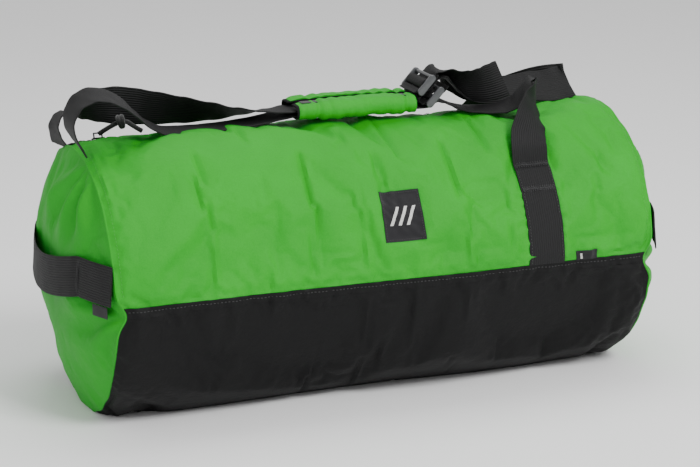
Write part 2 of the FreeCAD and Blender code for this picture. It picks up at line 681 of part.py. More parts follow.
side_panels()
base_panel()
end_panels()
seam_bindings()
zip_tapes()
zip_teeth()
zip_slider()
zip_stops()
carry_straps()
ladder_locks()
end_handles()
end_label()
side_labels()
grip()
pull_cord()
doc.recompute()

faults = []
for item in doc.Objects:
    if "Invalid" in item.State or "Error" in item.State:
        faults.append(f"{item.Label} {item.State}")
for piece in pieces:
    shape = piece.Shape
    if shape.isNull() or not shape.isValid():
        faults.append(f"{piece.Label} has no valid shape")
    else:
        print(f"{piece.Label:20s} solids {len(shape.Solids)}  volume {shape.Volume / 1000:9.2f} cm3")
if faults:
    raise RuntimeError("; ".join(faults))

os.makedirs("parts", exist_ok=True)
for piece in pieces:
    piece.Shape.exportStep(os.path.join("parts", piece.Label + ".step"))
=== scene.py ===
import json
import math
import bmesh
import bpy
import numpy as np
from bpy.props import FloatProperty, PointerProperty
from bpy.types import Operator, Panel, PropertyGroup
from mathutils import Matrix, Vector, noise

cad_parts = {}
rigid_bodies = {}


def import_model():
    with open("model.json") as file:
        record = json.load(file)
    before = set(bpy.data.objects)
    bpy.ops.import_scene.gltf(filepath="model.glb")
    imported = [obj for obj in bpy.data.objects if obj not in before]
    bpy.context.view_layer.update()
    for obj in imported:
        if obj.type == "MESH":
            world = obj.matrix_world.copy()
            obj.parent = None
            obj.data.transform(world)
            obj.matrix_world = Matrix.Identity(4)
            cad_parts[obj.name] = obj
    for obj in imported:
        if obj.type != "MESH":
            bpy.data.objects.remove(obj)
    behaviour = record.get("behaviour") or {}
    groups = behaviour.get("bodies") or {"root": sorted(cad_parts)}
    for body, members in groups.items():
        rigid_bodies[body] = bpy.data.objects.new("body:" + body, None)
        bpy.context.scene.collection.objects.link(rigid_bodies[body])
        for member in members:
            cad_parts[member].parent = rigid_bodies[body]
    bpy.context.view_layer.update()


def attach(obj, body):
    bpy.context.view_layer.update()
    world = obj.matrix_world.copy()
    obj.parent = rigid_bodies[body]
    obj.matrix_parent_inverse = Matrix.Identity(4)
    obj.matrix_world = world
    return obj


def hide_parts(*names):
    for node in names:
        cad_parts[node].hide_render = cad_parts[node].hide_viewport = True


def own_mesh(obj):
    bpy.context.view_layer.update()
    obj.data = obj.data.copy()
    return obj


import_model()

bl_info = {
    "name": "Barrel duffel",
    "version": (1, 0, 0),
    "blender": (4, 5, 0),
    "location": "3D View > Sidebar > Duffel",
    "description": "A packed barrel duffel with webbing straps, padded grip and zip",
    "category": "Object",
}

# ---- the bag's own measures, in metres and degrees ------------------------------------------------------

RADIUS = 0.175
AXIS_Z = 0.168
HALF_LENGTH = 0.3675
BULGE = 0.044
DOME = (RADIUS ** 2 + BULGE ** 2) / (2 * BULGE)
CLOTH = 0.0016
ZIP = -20.0
ZIP_HALF = 5.0
FRONT_EDGE = 89.0
BACK_EDGE = -129.0
WEB = 0.0508
WEB_THICK = 0.002
ANCHOR_X = 0.212
LOCK_TILT = 48.0
LOCKS = {"front": Vector((0.117, 0.008, 0.3706)), "rear": Vector((0.107, 0.014, 0.3864))}
SEWN_TO_FRONT = 43.0   # where the sewn webbing ends in front and at the back
SEWN_TO_BACK = -83.0
LABEL_X = 0.016        # middle of the front label
LABEL_TURN = 62.0
HANDLE_Z = 0.200
HANDLE_FREE = 104      # millimetres from the middle to where a handle is sewn down
FLOOR_GAP = 0.0002     # the lowest that any cloth may reach


# ---- small tools ----------------------------------------------------------------------------------------

def lump(x, y, z=0.0):
    """Smooth noise from about -1 to 1."""
    return noise.noise(Vector((x, y, z))) * 1.6


def near(distance, reach):
    """1 at a seam, falling away smoothly over the reach."""
    return math.exp(-(distance / reach) ** 2)


def finish_object(name, mesh_data, build, smooth_angle=40.0):
    """Turns a filled bmesh into a named object with tidy normals."""
    if all(edge.is_manifold for edge in build.edges):
        bmesh.ops.recalc_face_normals(build, faces=build.faces)
    build.to_mesh(mesh_data)
    build.free()
    for face in mesh_data.polygons:
        face.use_smooth = True
    mesh_data.set_sharp_from_angle(angle=math.radians(smooth_angle))
    piece = bpy.data.objects.new(name.replace(" ", "-"), mesh_data)
    bpy.context.scene.collection.objects.link(piece)
    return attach(piece, "root")


def curve_piece(name, line, material):
    """Turns a curve with thickness into a named mesh piece."""
    label = name.replace(" ", "-")
    holder = bpy.data.objects.new(label, line)
    bpy.context.scene.collection.objects.link(holder)
    view = bpy.context.evaluated_depsgraph_get()
    solid = bpy.data.meshes.new_from_object(holder.evaluated_get(view))
    bpy.data.objects.remove(holder)
    piece = bpy.data.objects.new(label, solid)
    bpy.context.scene.collection.objects.link(piece)
    solid.name = name
    solid.materials.clear()
    solid.materials.append(material)
    for face in solid.polygons:
        face.use_smooth = True
    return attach(piece, "root")


def shaped_sheet(name, columns, rows, place, thickness, lengths, material, wrap=False):
    """A sheet whose points come from place(u, v), made solid, with its UV in real lengths."""
    build = bmesh.new()
    bmesh.ops.create_grid(build, x_segments=columns, y_segments=rows, size=0.5)
    shares = {}
    for point in build.verts:
        shares[point] = (point.co.x + 0.5, point.co.y + 0.5)
    layer = build.loops.layers.uv.new("cloth")
    for face in build.faces:
        for corner in face.loops:
            u, v = shares[corner.vert]
            corner[layer].uv = (u * lengths[0], v * lengths[1])
    for point in build.verts:
        point.co = place(*shares[point])
    if wrap:
        bmesh.ops.remove_doubles(build, verts=build.verts, dist=1e-6)
    bmesh.ops.recalc_face_normals(build, faces=build.faces)
    build.faces.ensure_lookup_table()
    face = build.faces[len(build.faces) // 2]
    outward = face.calc_center_median() - Vector((0, 0, AXIS_Z))
    outward.x = outward.x if abs(outward.x) > HALF_LENGTH else 0.0
    if face.normal.dot(outward) < 0:
        bmesh.ops.reverse_faces(build, faces=build.faces)
    if thickness:
        bmesh.ops.solidify(build, geom=build.faces[:], thickness=thickness)
    piece = finish_object(name, bpy.data.meshes.new(name), build)
    piece.data.materials.append(material)
    return piece


def along_line(points, count):
    """Points at even steps along a smooth curve through the given ones, with their run in metres."""
    fine = []
    padded = [points[0]] + list(points) + [points[-1]]
    for before, here, there, after in zip(padded, padded[1:], padded[2:], padded[3:]):
        for step in range(12):
            t = step / 12
            square = (2 * before - 5 * here + 4 * there - after) * t * t
            cube = (3 * here - before - 3 * there + after) * t ** 3
            fine.append(0.5 * (2 * here + (there - before) * t + square + cube))
    fine.append(points[-1].copy())
    runs = [0.0]
    for here, there in zip(fine, fine[1:]):
        runs.append(runs[-1] + (there.xyz - here.xyz).length)
    even = []
    index = 0
    for number in range(count):
        target = runs[-1] * number / (count - 1)
        while index < len(runs) - 2 and runs[index + 1] < target:
            index += 1
        span = max(runs[index + 1] - runs[index], 1e-9)
        even.append(fine[index].lerp(fine[index + 1], (target - runs[index]) / span))
    return even, runs[-1]


# ---- materials ------------------------------------------------------------------------------------------

def linear(hex_colour):
    """sRGB hex to the linear colour that shaders take."""
    values = [int(hex_colour[i:i + 2], 16) / 255 for i in (1, 3, 5)]
    return tuple(v / 12.92 if v <= 0.04045 else ((v + 0.055) / 1.055) ** 2.4 for v in values) + (1.0,)


def add_node(tree, kind, inputs=None, **settings):
    """A node with its settings made and its inputs set or linked."""
    node = tree.nodes.new(kind)
    for key, value in settings.items():
        setattr(node, key, value)
    for key, value in (inputs or {}).items():
        if isinstance(value, bpy.types.NodeSocket):
            tree.links.new(value, node.inputs[key])
        else:
            node.inputs[key].default_value = value
    return node


def new_material(name, colour, roughness, **more):
    """A principled material and its tree, shader and object coordinates."""
    material = bpy.data.materials.new(name)
    material.use_nodes = True
    tree = material.node_tree
    shader = tree.nodes["Principled BSDF"]
    shader.inputs["Base Color"].default_value = linear(colour)
    shader.inputs["Roughness"].default_value = roughness
    for key, value in more.items():
        shader.inputs[key.replace("_", " ")].default_value = value
    return material, tree, shader


def set_mix(tree, factor, first, second):
    """A colour mix whose colour sockets take hex values or links."""
    mix = tree.nodes.new("ShaderNodeMix")
    mix.data_type = "RGBA"
    sockets = {"factor": mix.inputs[0], "first": mix.inputs[6], "second": mix.inputs[7]}
    for key, value in (("factor", factor), ("first", first), ("second", second)):
        if isinstance(value, bpy.types.NodeSocket):
            tree.links.new(value, sockets[key])
        elif isinstance(value, str):
            sockets[key].default_value = linear(value)
        else:
            sockets[key].default_value = value
    return mix.outputs[2]


def wave(tree, coordinates, axis, pitch, power=1.0):
    """A sine from 0 to 1 along one axis of the coordinates, with its pitch in metres."""
    split = add_node(tree, "ShaderNodeSeparateXYZ", {"Vector": coordinates})
    scaled = add_node(tree, "ShaderNodeMath", {0: split.outputs[axis], 1: 2 * math.pi / pitch},
                      operation="MULTIPLY")
    sine = add_node(tree, "ShaderNodeMath", {0: scaled.outputs[0]}, operation="SINE")
    half = add_node(tree, "ShaderNodeMath", {0: sine.outputs[0], 1: 0.5, 2: 0.5}, operation="MULTIPLY_ADD")
    return add_node(tree, "ShaderNodeMath", {0: half.outputs[0], 1: power}, operation="POWER").outputs[0]


def maths(tree, operation, first, second):
    """One step of arithmetic on two values or links."""
    return add_node(tree, "ShaderNodeMath", {0: first, 1: second}, operation=operation).outputs[0]


def bump(tree, shader, height, depth):
    """Relief of a given depth in metres."""
    node = add_node(tree, "ShaderNodeBump", {"Height": height, "Distance": depth, "Strength": 1.0})
    tree.links.new(node.outputs["Normal"], shader.inputs["Normal"])


def grain(tree, coordinates, scale, detail=4.0, rough=0.6):
    """Fine noise, with its scale in features to the metre."""
    return add_node(tree, "ShaderNodeTexNoise", {"Vector": coordinates, "Scale": scale, "Detail": detail,
                                                 "Roughness": rough}).outputs["Fac"]


def coated_nylon(name, low, high, roughness, crumple):
    """Coated pack cloth: a fine plain weave, a thin soft sheen and small creases that catch the light."""
    material, tree, shader = new_material(name, low, roughness, Specular_IOR_Level=0.22)
    place = add_node(tree, "ShaderNodeTexCoord").outputs["Object"]
    cloth = add_node(tree, "ShaderNodeUVMap", uv_map="cloth").outputs["UV"]
    drift = maths(tree, "MULTIPLY", grain(tree, place, 9.0, 3.0), 0.5)
    heather = maths(tree, "MULTIPLY", grain(tree, place, 620.0, 3.0, 0.75), 0.5)
    tree.links.new(set_mix(tree, maths(tree, "ADD", drift, heather), low, high), shader.inputs["Base Color"])
    weave = maths(tree, "ADD", wave(tree, cloth, "X", 0.0011), wave(tree, cloth, "Y", 0.0011))
    weave = maths(tree, "MULTIPLY", weave, 0.00008)
    creases = maths(tree, "MULTIPLY", grain(tree, place, 30.0, 4.0, 0.5), crumple)
    crumbs = maths(tree, "MULTIPLY", grain(tree, place, 230.0, 3.0, 0.6), crumple * 0.16)
    bump(tree, shader, maths(tree, "ADD", maths(tree, "ADD", weave, creases), crumbs), 1.0)
    return material


def webbing_cloth():
    """Heavy nylon webbing: lengthwise ribs, small cross picks and a dull sheen on the crowns."""
    material, tree, shader = new_material("ribbed nylon webbing", "#0A0A0B", 0.62, Specular_IOR_Level=0.3)
    cloth = add_node(tree, "ShaderNodeUVMap", uv_map="cloth").outputs["UV"]
    ribs = wave(tree, cloth, "Y", 0.0031, 0.7)
    picks = wave(tree, cloth, "X", 0.0012)
    fuzz = grain(tree, cloth, 900.0, 2.0)
    # painted sheen: the colour is lighter on the rib crowns and the picks
    painted_crown_sheen = maths(tree, "MULTIPLY", ribs, maths(tree, "ADD", maths(tree, "MULTIPLY", picks, 0.4), 0.6))
    tree.links.new(set_mix(tree, painted_crown_sheen, "#050506", "#0F0F10"), shader.inputs["Base Color"])
    height = maths(tree, "ADD", maths(tree, "MULTIPLY", ribs, 0.00045),
                   maths(tree, "MULTIPLY", picks, 0.00016))
    bump(tree, shader, maths(tree, "ADD", height, maths(tree, "MULTIPLY", fuzz, 0.0001)), 1.0)
    return material


def woven_tape(name, low, high, pitch):
    """Close woven tape: a fine twill that breaks up the light."""
    material, tree, shader = new_material(name, low, 0.75, Specular_IOR_Level=0.3, Sheen_Weight=0.2)
    place = add_node(tree, "ShaderNodeTexCoord").outputs["Object"]
    twill = maths(tree, "MULTIPLY", wave(tree, place, "X", pitch), wave(tree, place, "Y", pitch))
    # painted highlight: the twill's raised crowns are made lighter in the colour
    tree.links.new(set_mix(tree, twill, low, high), shader.inputs["Base Color"])
    bump(tree, shader, maths(tree, "MULTIPLY", twill, pitch * 0.15), 1.0)
    return material


def moulded(name, low, high, roughness):
    """Moulded acetal: smooth and glossy with faint flow marks."""
    material, tree, shader = new_material(name, low, roughness, IOR=1.48, Coat_Weight=0.3,
                                          Coat_Roughness=0.12)
    place = add_node(tree, "ShaderNodeTexCoord").outputs["Object"]
    tree.links.new(set_mix(tree, grain(tree, place, 120.0, 2.0), low, high), shader.inputs["Base Color"])
    bump(tree, shader, maths(tree, "MULTIPLY", grain(tree, place, 400.0, 2.0), 0.00004), 1.0)
    return material


def painted_zinc():
    """Black painted zinc: a thin glossy film over cast metal, a little orange peel."""
    material, tree, shader = new_material("painted zinc", "#1D1D1F", 0.32, IOR=1.5, Metallic=0.35,
                                          Coat_Weight=0.5, Coat_Roughness=0.15)
    place = add_node(tree, "ShaderNodeTexCoord").outputs["Object"]
    tree.links.new(set_mix(tree, grain(tree, place, 300.0), "#1A1A1C", "#2A2A2D"),
                   shader.inputs["Base Color"])
    bump(tree, shader, maths(tree, "MULTIPLY", grain(tree, place, 900.0), 0.00003), 1.0)
    return material


def closed_foam():
    """Closed cell foam: matt, with tiny pits on its cut face."""
    material, tree, shader = new_material("closed cell foam", "#0B0B0C", 0.9, Specular_IOR_Level=0.25)
    place = add_node(tree, "ShaderNodeTexCoord").outputs["Object"]
    cells = add_node(tree, "ShaderNodeTexVoronoi", {"Vector": place, "Scale": 900.0}).outputs["Distance"]
    # painted shade: the pits are darker than the cell walls
    tree.links.new(set_mix(tree, cells, "#080809", "#151516"), shader.inputs["Base Color"])
    bump(tree, shader, maths(tree, "MULTIPLY", cells, 0.0003), 1.0)
    return material


def braided_cord():
    """Braided cord: crossing strands and a little fuzz."""
    material, tree, shader = new_material("braided cord", "#141415", 0.8, Specular_IOR_Level=0.3,
                                          Sheen_Weight=0.4, Sheen_Roughness=0.5)
    place = add_node(tree, "ShaderNodeTexCoord").outputs["Object"]
    strands = maths(tree, "MULTIPLY", wave(tree, place, "X", 0.0022), wave(tree, place, "Z", 0.0022))
    fuzz = grain(tree, place, 1500.0, 3.0)
    # painted highlight: the raised strands and fuzz are made lighter in the colour
    tree.links.new(set_mix(tree, maths(tree, "MULTIPLY", strands, fuzz), "#101011", "#3A3A3B"),
                   shader.inputs["Base Color"])
    bump(tree, shader, maths(tree, "MULTIPLY", maths(tree, "ADD", strands, fuzz), 0.0004), 1.0)
    return material


def thread(name, low, high):
    """Bonded sewing thread: twisted, slightly shiny."""
    material, tree, shader = new_material(name, low, 0.5, Specular_IOR_Level=0.4)
    place = add_node(tree, "ShaderNodeTexCoord").outputs["Object"]
    tree.links.new(set_mix(tree, grain(tree, place, 1200.0), low, high), shader.inputs["Base Color"])
    bump(tree, shader, maths(tree, "MULTIPLY", grain(tree, place, 2500.0), 0.00008), 1.0)
    return material


FINISH = {}


def make_finishes():
    """Makes every material once, under the names that the pieces use."""
    FINISH["green"] = coated_nylon("green coated nylon", "#0B7A0D", "#27B024", 0.58, 0.0026)
    FINISH["base"] = coated_nylon("black coated base cloth", "#020202", "#060607", 0.62, 0.0032)
    FINISH["web"] = webbing_cloth()
    FINISH["zip_tape"] = woven_tape("zip tape", "#17171A", "#2C2C30", 0.0009)
    FINISH["label"] = woven_tape("dark woven label", "#0C0B0F", "#131217", 0.0006)
    FINISH["hook"] = woven_tape("hook and loop tape", "#070708", "#121213", 0.0014)
    FINISH["coil"] = moulded("nylon coil", "#151517", "#26262A", 0.35)
    FINISH["lock"] = moulded("moulded acetal", "#3A3B3D", "#4A4B4E", 0.28)
    FINISH["zinc"] = painted_zinc()
    FINISH["foam"] = closed_foam()
    FINISH["cord"] = braided_cord()
    FINISH["dark_thread"] = thread("dark sewing thread", "#2A2A2B", "#4A4A4B")
    FINISH["pale_thread"] = thread("pale embroidery thread", "#D8D8D4", "#F2F2EE")
    FINISH["green_thread"] = thread("green sewing thread", "#2A8A27", "#58BE50")


# ---- the bag --------------------------------------------------------------------------------------------

GRID_TURN = 2.0        # degrees between the simulated cloth's rows
GRID_COLUMNS = 122     # steps of about 6 mm along the bag
GRID_RINGS = 26        # rings of an end panel
FILL_FRAMES = 20       # frames of the cloth run
MOST_MOVE = 0.011      # the furthest that filling may move the cloth
FIRST_ROW = BACK_EDGE
MOVES = {}


def swell(x, degrees):
    """How far the seams and the packed load shape the cloth before it is filled, in metres."""
    to_end = HALF_LENGTH - abs(x)
    ring_y, ring_z = math.sin(math.radians(degrees)), math.cos(math.radians(degrees))
    hem = math.radians(min(abs(degrees - FRONT_EDGE), abs(degrees - BACK_EDGE),
                           abs(degrees - BACK_EDGE - 360)))
    lumps = 0.0042 * lump(x * 4.2, ring_y * 1.2 + 4, ring_z * 1.2) - 0.0012
    drawn_in = -0.0030 * near(to_end, 0.014)
    gathers = 0.0016 * lump(x * 5.0, ring_y * 6.5, ring_z * 6.5 + 9) * near(to_end, 0.05)
    return lumps + drawn_in + gathers - 0.0018 * near(hem * RADIUS, 0.010)


def pulled_in(x, degrees):
    """How far an end seam is drawn along the bag where the base panel's hem meets it."""
    hem = min(abs(degrees - FRONT_EDGE - 3), abs(degrees - BACK_EDGE + 3), abs(degrees - BACK_EDGE - 357))
    corner = 0.012 * near(math.radians(hem) * RADIUS, 0.017) * near(HALF_LENGTH - abs(x), 0.035)
    return -math.copysign(corner, x)


def plain_skin(x, degrees, out=0.0):
    """A point of the barrel's cloth before it is filled."""
    degrees = FIRST_ROW + (degrees - FIRST_ROW) % 360
    reach = RADIUS + swell(x, degrees) + out
    turn = math.radians(degrees)
    x += pulled_in(x, degrees)
    return Vector((x, -reach * math.sin(turn), AXIS_Z + reach * math.cos(turn)))


def sampled(name, u, v):
    """The simulated cloth's move at shares u and v of its grid."""
    if name not in MOVES:
        return Vector()
    grid = MOVES[name]
    columns, rows = grid.shape[0] - 1, grid.shape[1] - 1
    across, along = min(max(u, 0.0), 1.0) * columns, min(max(v, 0.0), 1.0) * rows
    i, j = min(int(across), columns - 1), min(int(along), rows - 1)
    s, t = across - i, along - j
    near_row = grid[i, j] * (1 - s) + grid[i + 1, j] * s
    far_row = grid[i, j + 1] * (1 - s) + grid[i + 1, j + 1] * s
    return Vector(near_row * (1 - t) + far_row * t)


def tucks(x, degrees):
    """Short gathers that run up and down from the base panel's hems, and creases beside the sewn webbing."""
    from_first = math.radians(degrees - FRONT_EDGE) * RADIUS
    from_last = math.radians(degrees - BACK_EDGE - (360 if degrees > FRONT_EDGE else 0)) * RADIUS
    hem = min((from_first, from_last), key=abs)
    black = FRONT_EDGE < (degrees - FIRST_ROW) % 360 + FIRST_ROW < BACK_EDGE + 360
    lean = x + 0.35 * abs(hem) * lump(x * 3.0, 2.0)
    gather = 0.0017 * lump(lean * 62.0, 5.0 if black else 1.0, 0.0) * near(abs(hem) - 0.011, 0.015)
    wide = 0.0030 * lump(lean * 22.0, 9.0 if black else 3.0, 0.0) * near(abs(hem) - 0.024, 0.026)
    above_web = math.radians(degrees - 47) * RADIUS
    pinch = -0.0050 * near(x - ANCHOR_X + 0.033 + 0.45 * above_web, 0.007) * near(above_web, 0.022)
    pinch -= 0.0032 * near(x - ANCHOR_X - 0.034 - 0.25 * above_web, 0.007) * near(above_web - 0.008, 0.030)
    below_grip = x - 0.062 - 0.30 * math.radians(degrees - 20) * RADIUS
    grip_fold = -0.0030 * near(below_grip, 0.008) * near(degrees - 21, 15)
    corner = x - 0.298 - 0.42 * math.radians(degrees - 38) * RADIUS
    end_crease = -0.0045 * near(corner, 0.008) * near(degrees - 37, 16)
    sewn_down = max(near(x - ANCHOR_X, 0.042), near(x - LABEL_X, 0.036) * near(degrees - LABEL_TURN, 17))
    return (gather + wide) * (1 - min(1.0, 1.6 * sewn_down)) + pinch + grip_fold + end_crease


def skin(x, degrees, out=0.0):
    """A point on the packed cloth, or a little way off it."""
    wrapped = (degrees - FIRST_ROW) % 360.0
    out += tucks(x, wrapped + FIRST_ROW) * (1 - near(HALF_LENGTH - abs(x), 0.008))
    share = (x + HALF_LENGTH) / (2 * HALF_LENGTH)
    spot = plain_skin(x, degrees, out) + sampled("barrel", share, wrapped / 360)
    spot.z = max(spot.z, FLOOR_GAP)
    return spot


def plain_end(side, share, degrees):
    """A point of an end panel before it is filled: share is 0 in its middle and 1 at the seam."""
    edge = plain_skin(side * HALF_LENGTH, degrees)
    dome = 1 - share ** 2.2
    across, up = edge.y / RADIUS * share, (edge.z - AXIS_Z) / RADIUS * share
    soft = share * dome * 3.2
    hang = 0.0055 * lump(across * 5.5 + side * 3, up * 0.9, 5.0) * max(up + 0.25, 0.0)
    level = 0.0050 * lump(across * 1.2, up * 5.5 + side, 2.0) * max(0.2 - up, 0.0)
    rays = 0.0035 * lump(math.atan2(up - 0.86, across + 0.45) * 2.6, 0.6, 8.0 + side)
    from_hem = math.hypot(across + 0.98, up + 0.05)
    hem_fan = 0.0060 * math.cos(8.0 * math.atan2(up + 0.05, across + 0.98)) * near(from_hem - 0.28, 0.20)
    from_strap = math.hypot(across + 0.33, up - 0.95)
    strap_fan = 0.0060 * math.cos(9.0 * math.atan2(up - 0.95, across + 0.33)) * near(from_strap - 0.34, 0.26)
    folds = (hang + level + rays + hem_fan + strap_fan) * soft
    x = side * (HALF_LENGTH + (BULGE - 0.005) * dome + folds)
    x += (edge.x - side * HALF_LENGTH) * share ** 4
    return Vector((x, edge.y * share, AXIS_Z + (edge.z - AXIS_Z) * share))


def end_point(side, share, degrees, out=0.0):
    """A point of a filled end panel, or a little way off it."""
    wrapped = ((degrees - FIRST_ROW) % 360.0) / 360
    name = "left" if side < 0 else "right"
    spot = plain_end(side, share, degrees) + sampled(name, share, wrapped)
    spot.x += side * out
    spot.z = max(spot.z, FLOOR_GAP)
    return spot


def refined(grid):
    """Puts a smooth row between each two rows of a grid, both ways."""
    for axis in (0, 1):
        rows = np.swapaxes(grid, 0, axis)
        wide = np.concatenate([rows[:1], rows, rows[-1:]])
        between = (9 * (wide[1:-2] + wide[2:-1]) - wide[:-3] - wide[3:]) / 16
        finer = np.empty((2 * len(rows) - 1,) + rows.shape[1:])
        finer[0::2] = rows
        finer[1::2] = between
        grid = np.swapaxes(finer, 0, axis)
    return grid


def fill_with_gear(fill):
    """Fills the sewn cloth with gear: a Cloth run under pressure, held at its seams and sewn webbing."""
    rows = int(360 / GRID_TURN)
    spots, fixed = [], []
    for column in range(GRID_COLUMNS + 1):
        x = -HALF_LENGTH + 2 * HALF_LENGTH * column / GRID_COLUMNS
        for row in range(rows):
            degrees = FIRST_ROW + GRID_TURN * row
            seam = column in (0, GRID_COLUMNS) or degrees in (FRONT_EDGE, BACK_EDGE)
            zipped = abs(degrees - ZIP) <= ZIP_HALF
            sewn_here = SEWN_TO_FRONT < degrees < FRONT_EDGE or BACK_EDGE < degrees < SEWN_TO_BACK
            webbed = abs(x - ANCHOR_X) < WEB / 2 and sewn_here
            labelled = 0.0 > abs(x - LABEL_X) - 0.027 and abs(degrees - LABEL_TURN) < 11
            held = 1.0 if seam else 0.75 if zipped else 0.5 if webbed else 0.25 if labelled else 0.0
            spots.append(plain_skin(x, degrees))
            fixed.append(held)
    start = len(spots)
    for side in (-1, 1):
        for ring in range(1, GRID_RINGS):
            for row in range(rows):
                spots.append(plain_end(side, ring / GRID_RINGS, FIRST_ROW + GRID_TURN * row))
                handle = abs(spots[-1].z - HANDLE_Z) < 0.026 and abs(spots[-1].y) > HANDLE_FREE / 1000
                fixed.append(0.5 if handle else 0.0)
        spots.append(plain_end(side, 0.0, 0.0))
        fixed.append(0.0)
    per_end = (GRID_RINGS - 1) * rows + 1
    build = bmesh.new()
    points = [build.verts.new(spot) for spot in spots]
    for column in range(GRID_COLUMNS):
        for row in range(rows):
            after = (row + 1) % rows
            build.faces.new([points[column * rows + row], points[(column + 1) * rows + row],
                             points[(column + 1) * rows + after], points[column * rows + after]])
    for number, column in ((0, 0), (1, GRID_COLUMNS)):
        base = start + number * per_end
        rings = [[base + (ring - 1) * rows + row for row in range(rows)] for ring in range(1, GRID_RINGS)]
        rings.append([column * rows + row for row in range(rows)])
        for here, there in zip(rings, rings[1:]):
            for row in range(rows):
                after = (row + 1) % rows
                build.faces.new([points[here[row]], points[there[row]],
                                 points[there[after]], points[here[after]]])
        pole = points[base + per_end - 1]
        for row in range(rows):
            build.faces.new([pole, points[rings[0][row]], points[rings[0][(row + 1) % rows]]])
    bmesh.ops.recalc_face_normals(build, faces=build.faces)
    mesh = bpy.data.meshes.new("filling")
    build.to_mesh(mesh)
    build.free()
    cloth = bpy.data.objects.new("filling", mesh)
    bpy.context.scene.collection.objects.link(cloth)
    group = cloth.vertex_groups.new(name="seams")
    for weight in (1.0, 0.75, 0.5, 0.25):
        group.add([index for index, value in enumerate(fixed) if value == weight], weight, "REPLACE")
    ends = cloth.vertex_groups.new(name="ends")
    ends.add(list(range(start, len(spots))), 1.0, "REPLACE")
    modifier = cloth.modifiers.new("cloth", "CLOTH")
    settings = modifier.settings
    settings.quality = 5
    settings.mass = 0.15
    settings.tension_stiffness = 25
    settings.compression_stiffness = 25
    settings.shear_stiffness = 8
    settings.bending_stiffness = 0.05
    settings.use_pressure = True
    settings.uniform_pressure_force = fill
    settings.vertex_group_mass = "seams"
    settings.pin_stiffness = 3.0
    settings.shrink_min = -0.036
    settings.shrink_max = -0.006
    settings.vertex_group_shrink = "ends"
    settings.effector_weights.gravity = 0.0
    modifier.collision_settings.use_collision = False
    scene = bpy.context.scene
    scene.frame_start, scene.frame_end = 1, FILL_FRAMES
    modifier.point_cache.frame_start, modifier.point_cache.frame_end = 1, FILL_FRAMES
    for number in range(1, FILL_FRAMES + 1):
        scene.frame_set(number)
    view = bpy.context.evaluated_depsgraph_get()
    settled = cloth.evaluated_get(view).data
    after = np.empty(len(spots) * 3)
    settled.vertices.foreach_get("co", after)
    moves = after.reshape(-1, 3) - np.array([tuple(spot) for spot in spots])
    far = np.linalg.norm(moves, axis=1, keepdims=True)
    moves *= np.minimum(1.0, MOST_MOVE / np.maximum(far, 1e-9))
    bpy.data.objects.remove(cloth)
    scene.frame_set(1)
    barrel = moves[:start].reshape(GRID_COLUMNS + 1, rows, 3)
    MOVES["barrel"] = refined(np.concatenate([barrel, barrel[:, :1]], axis=1))
    for number, (name, column) in enumerate((("left", 0), ("right", GRID_COLUMNS))):
        base = start + number * per_end
        rings = moves[base:base + per_end - 1].reshape(GRID_RINGS - 1, rows, 3)
        pole = np.repeat(moves[base + per_end - 1][None, None, :], rows, axis=1)
        seam = barrel[column][None]
        whole = np.concatenate([pole, rings, seam])
        MOVES[name] = refined(np.concatenate([whole, whole[:, :1]], axis=1))
    most, mean = float(far.max()) * 1000, float(far.mean()) * 1000
    print("cloth moved", round(most, 1), "mm at most,", round(mean, 2), "mean")


def barrel_panel(name, first, last, material, steps, node):
    """One side panel, from edge to edge of its angle and from end seam to end seam."""
    def place(u, v):
        return skin(-HALF_LENGTH + 2 * HALF_LENGTH * u, first + (last - first) * v)
    tall = math.radians(last - first) * RADIUS
    piece = shaped_sheet(name, 2 * GRID_COLUMNS, steps, place, CLOTH, (2 * HALF_LENGTH, tall), material)
    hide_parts(node)
    return piece


def end_panel(side, node, name):
    """A round end, from its middle to its seam."""
    def place(u, v):
        return end_point(side, v, FIRST_ROW + 360 * u)
    around = 2 * math.pi * RADIUS
    piece = shaped_sheet(name, 360, 2 * GRID_RINGS, place, 0.0, (around, RADIUS), FINISH["green"], wrap=True)
    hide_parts(node)
    return piece


def strip_on_skin(name, x_first, x_last, first, last, out, thickness, material, columns, rows):
    """A flat piece that lies on the barrel."""
    def place(u, v):
        return skin(x_first + (x_last - x_first) * u, first + (last - first) * v, out)
    tall = math.radians(abs(last - first)) * RADIUS
    return shaped_sheet(name, columns, rows, place, thickness, (abs(x_last - x_first), tall), material)


def stitches(name, paths, length, gap, radius, material):
    """Rows of thread: each stitch is a small rounded bar lying along its path."""
    build = bmesh.new()
    for points in paths:
        count = max(int(sum((b - a).length for a, b in zip(points, points[1:])) / (length + gap)), 2)
        spots = along_line(points, 2 * count + 1)[0]
        for number in range(count):
            here, there = spots[2 * number], spots[2 * number + 1]
            lie = (there - here).to_track_quat("X", "Z").to_matrix().to_4x4()
            size = Matrix.Diagonal((length * 0.56, radius, radius, 1.0))
            place = Matrix.Translation((here + there) / 2) @ lie @ size
            bmesh.ops.create_uvsphere(build, u_segments=6, v_segments=4, radius=1.0, matrix=place)
    piece = finish_object(name, bpy.data.meshes.new(name), build, 80)
    piece.data.materials.append(material)
    return piece


def skin_row(degrees, x_first, x_last, out, count=90):
    """Points along the bag at one angle."""
    return [skin(x_first + (x_last - x_first) * i / (count - 1), degrees, out) for i in range(count)]


def skin_ring(x, first, last, out, count=60):
    """Points round the bag at one place."""
    return [skin(x, first + (last - first) * i / (count - 1), out) for i in range(count)]


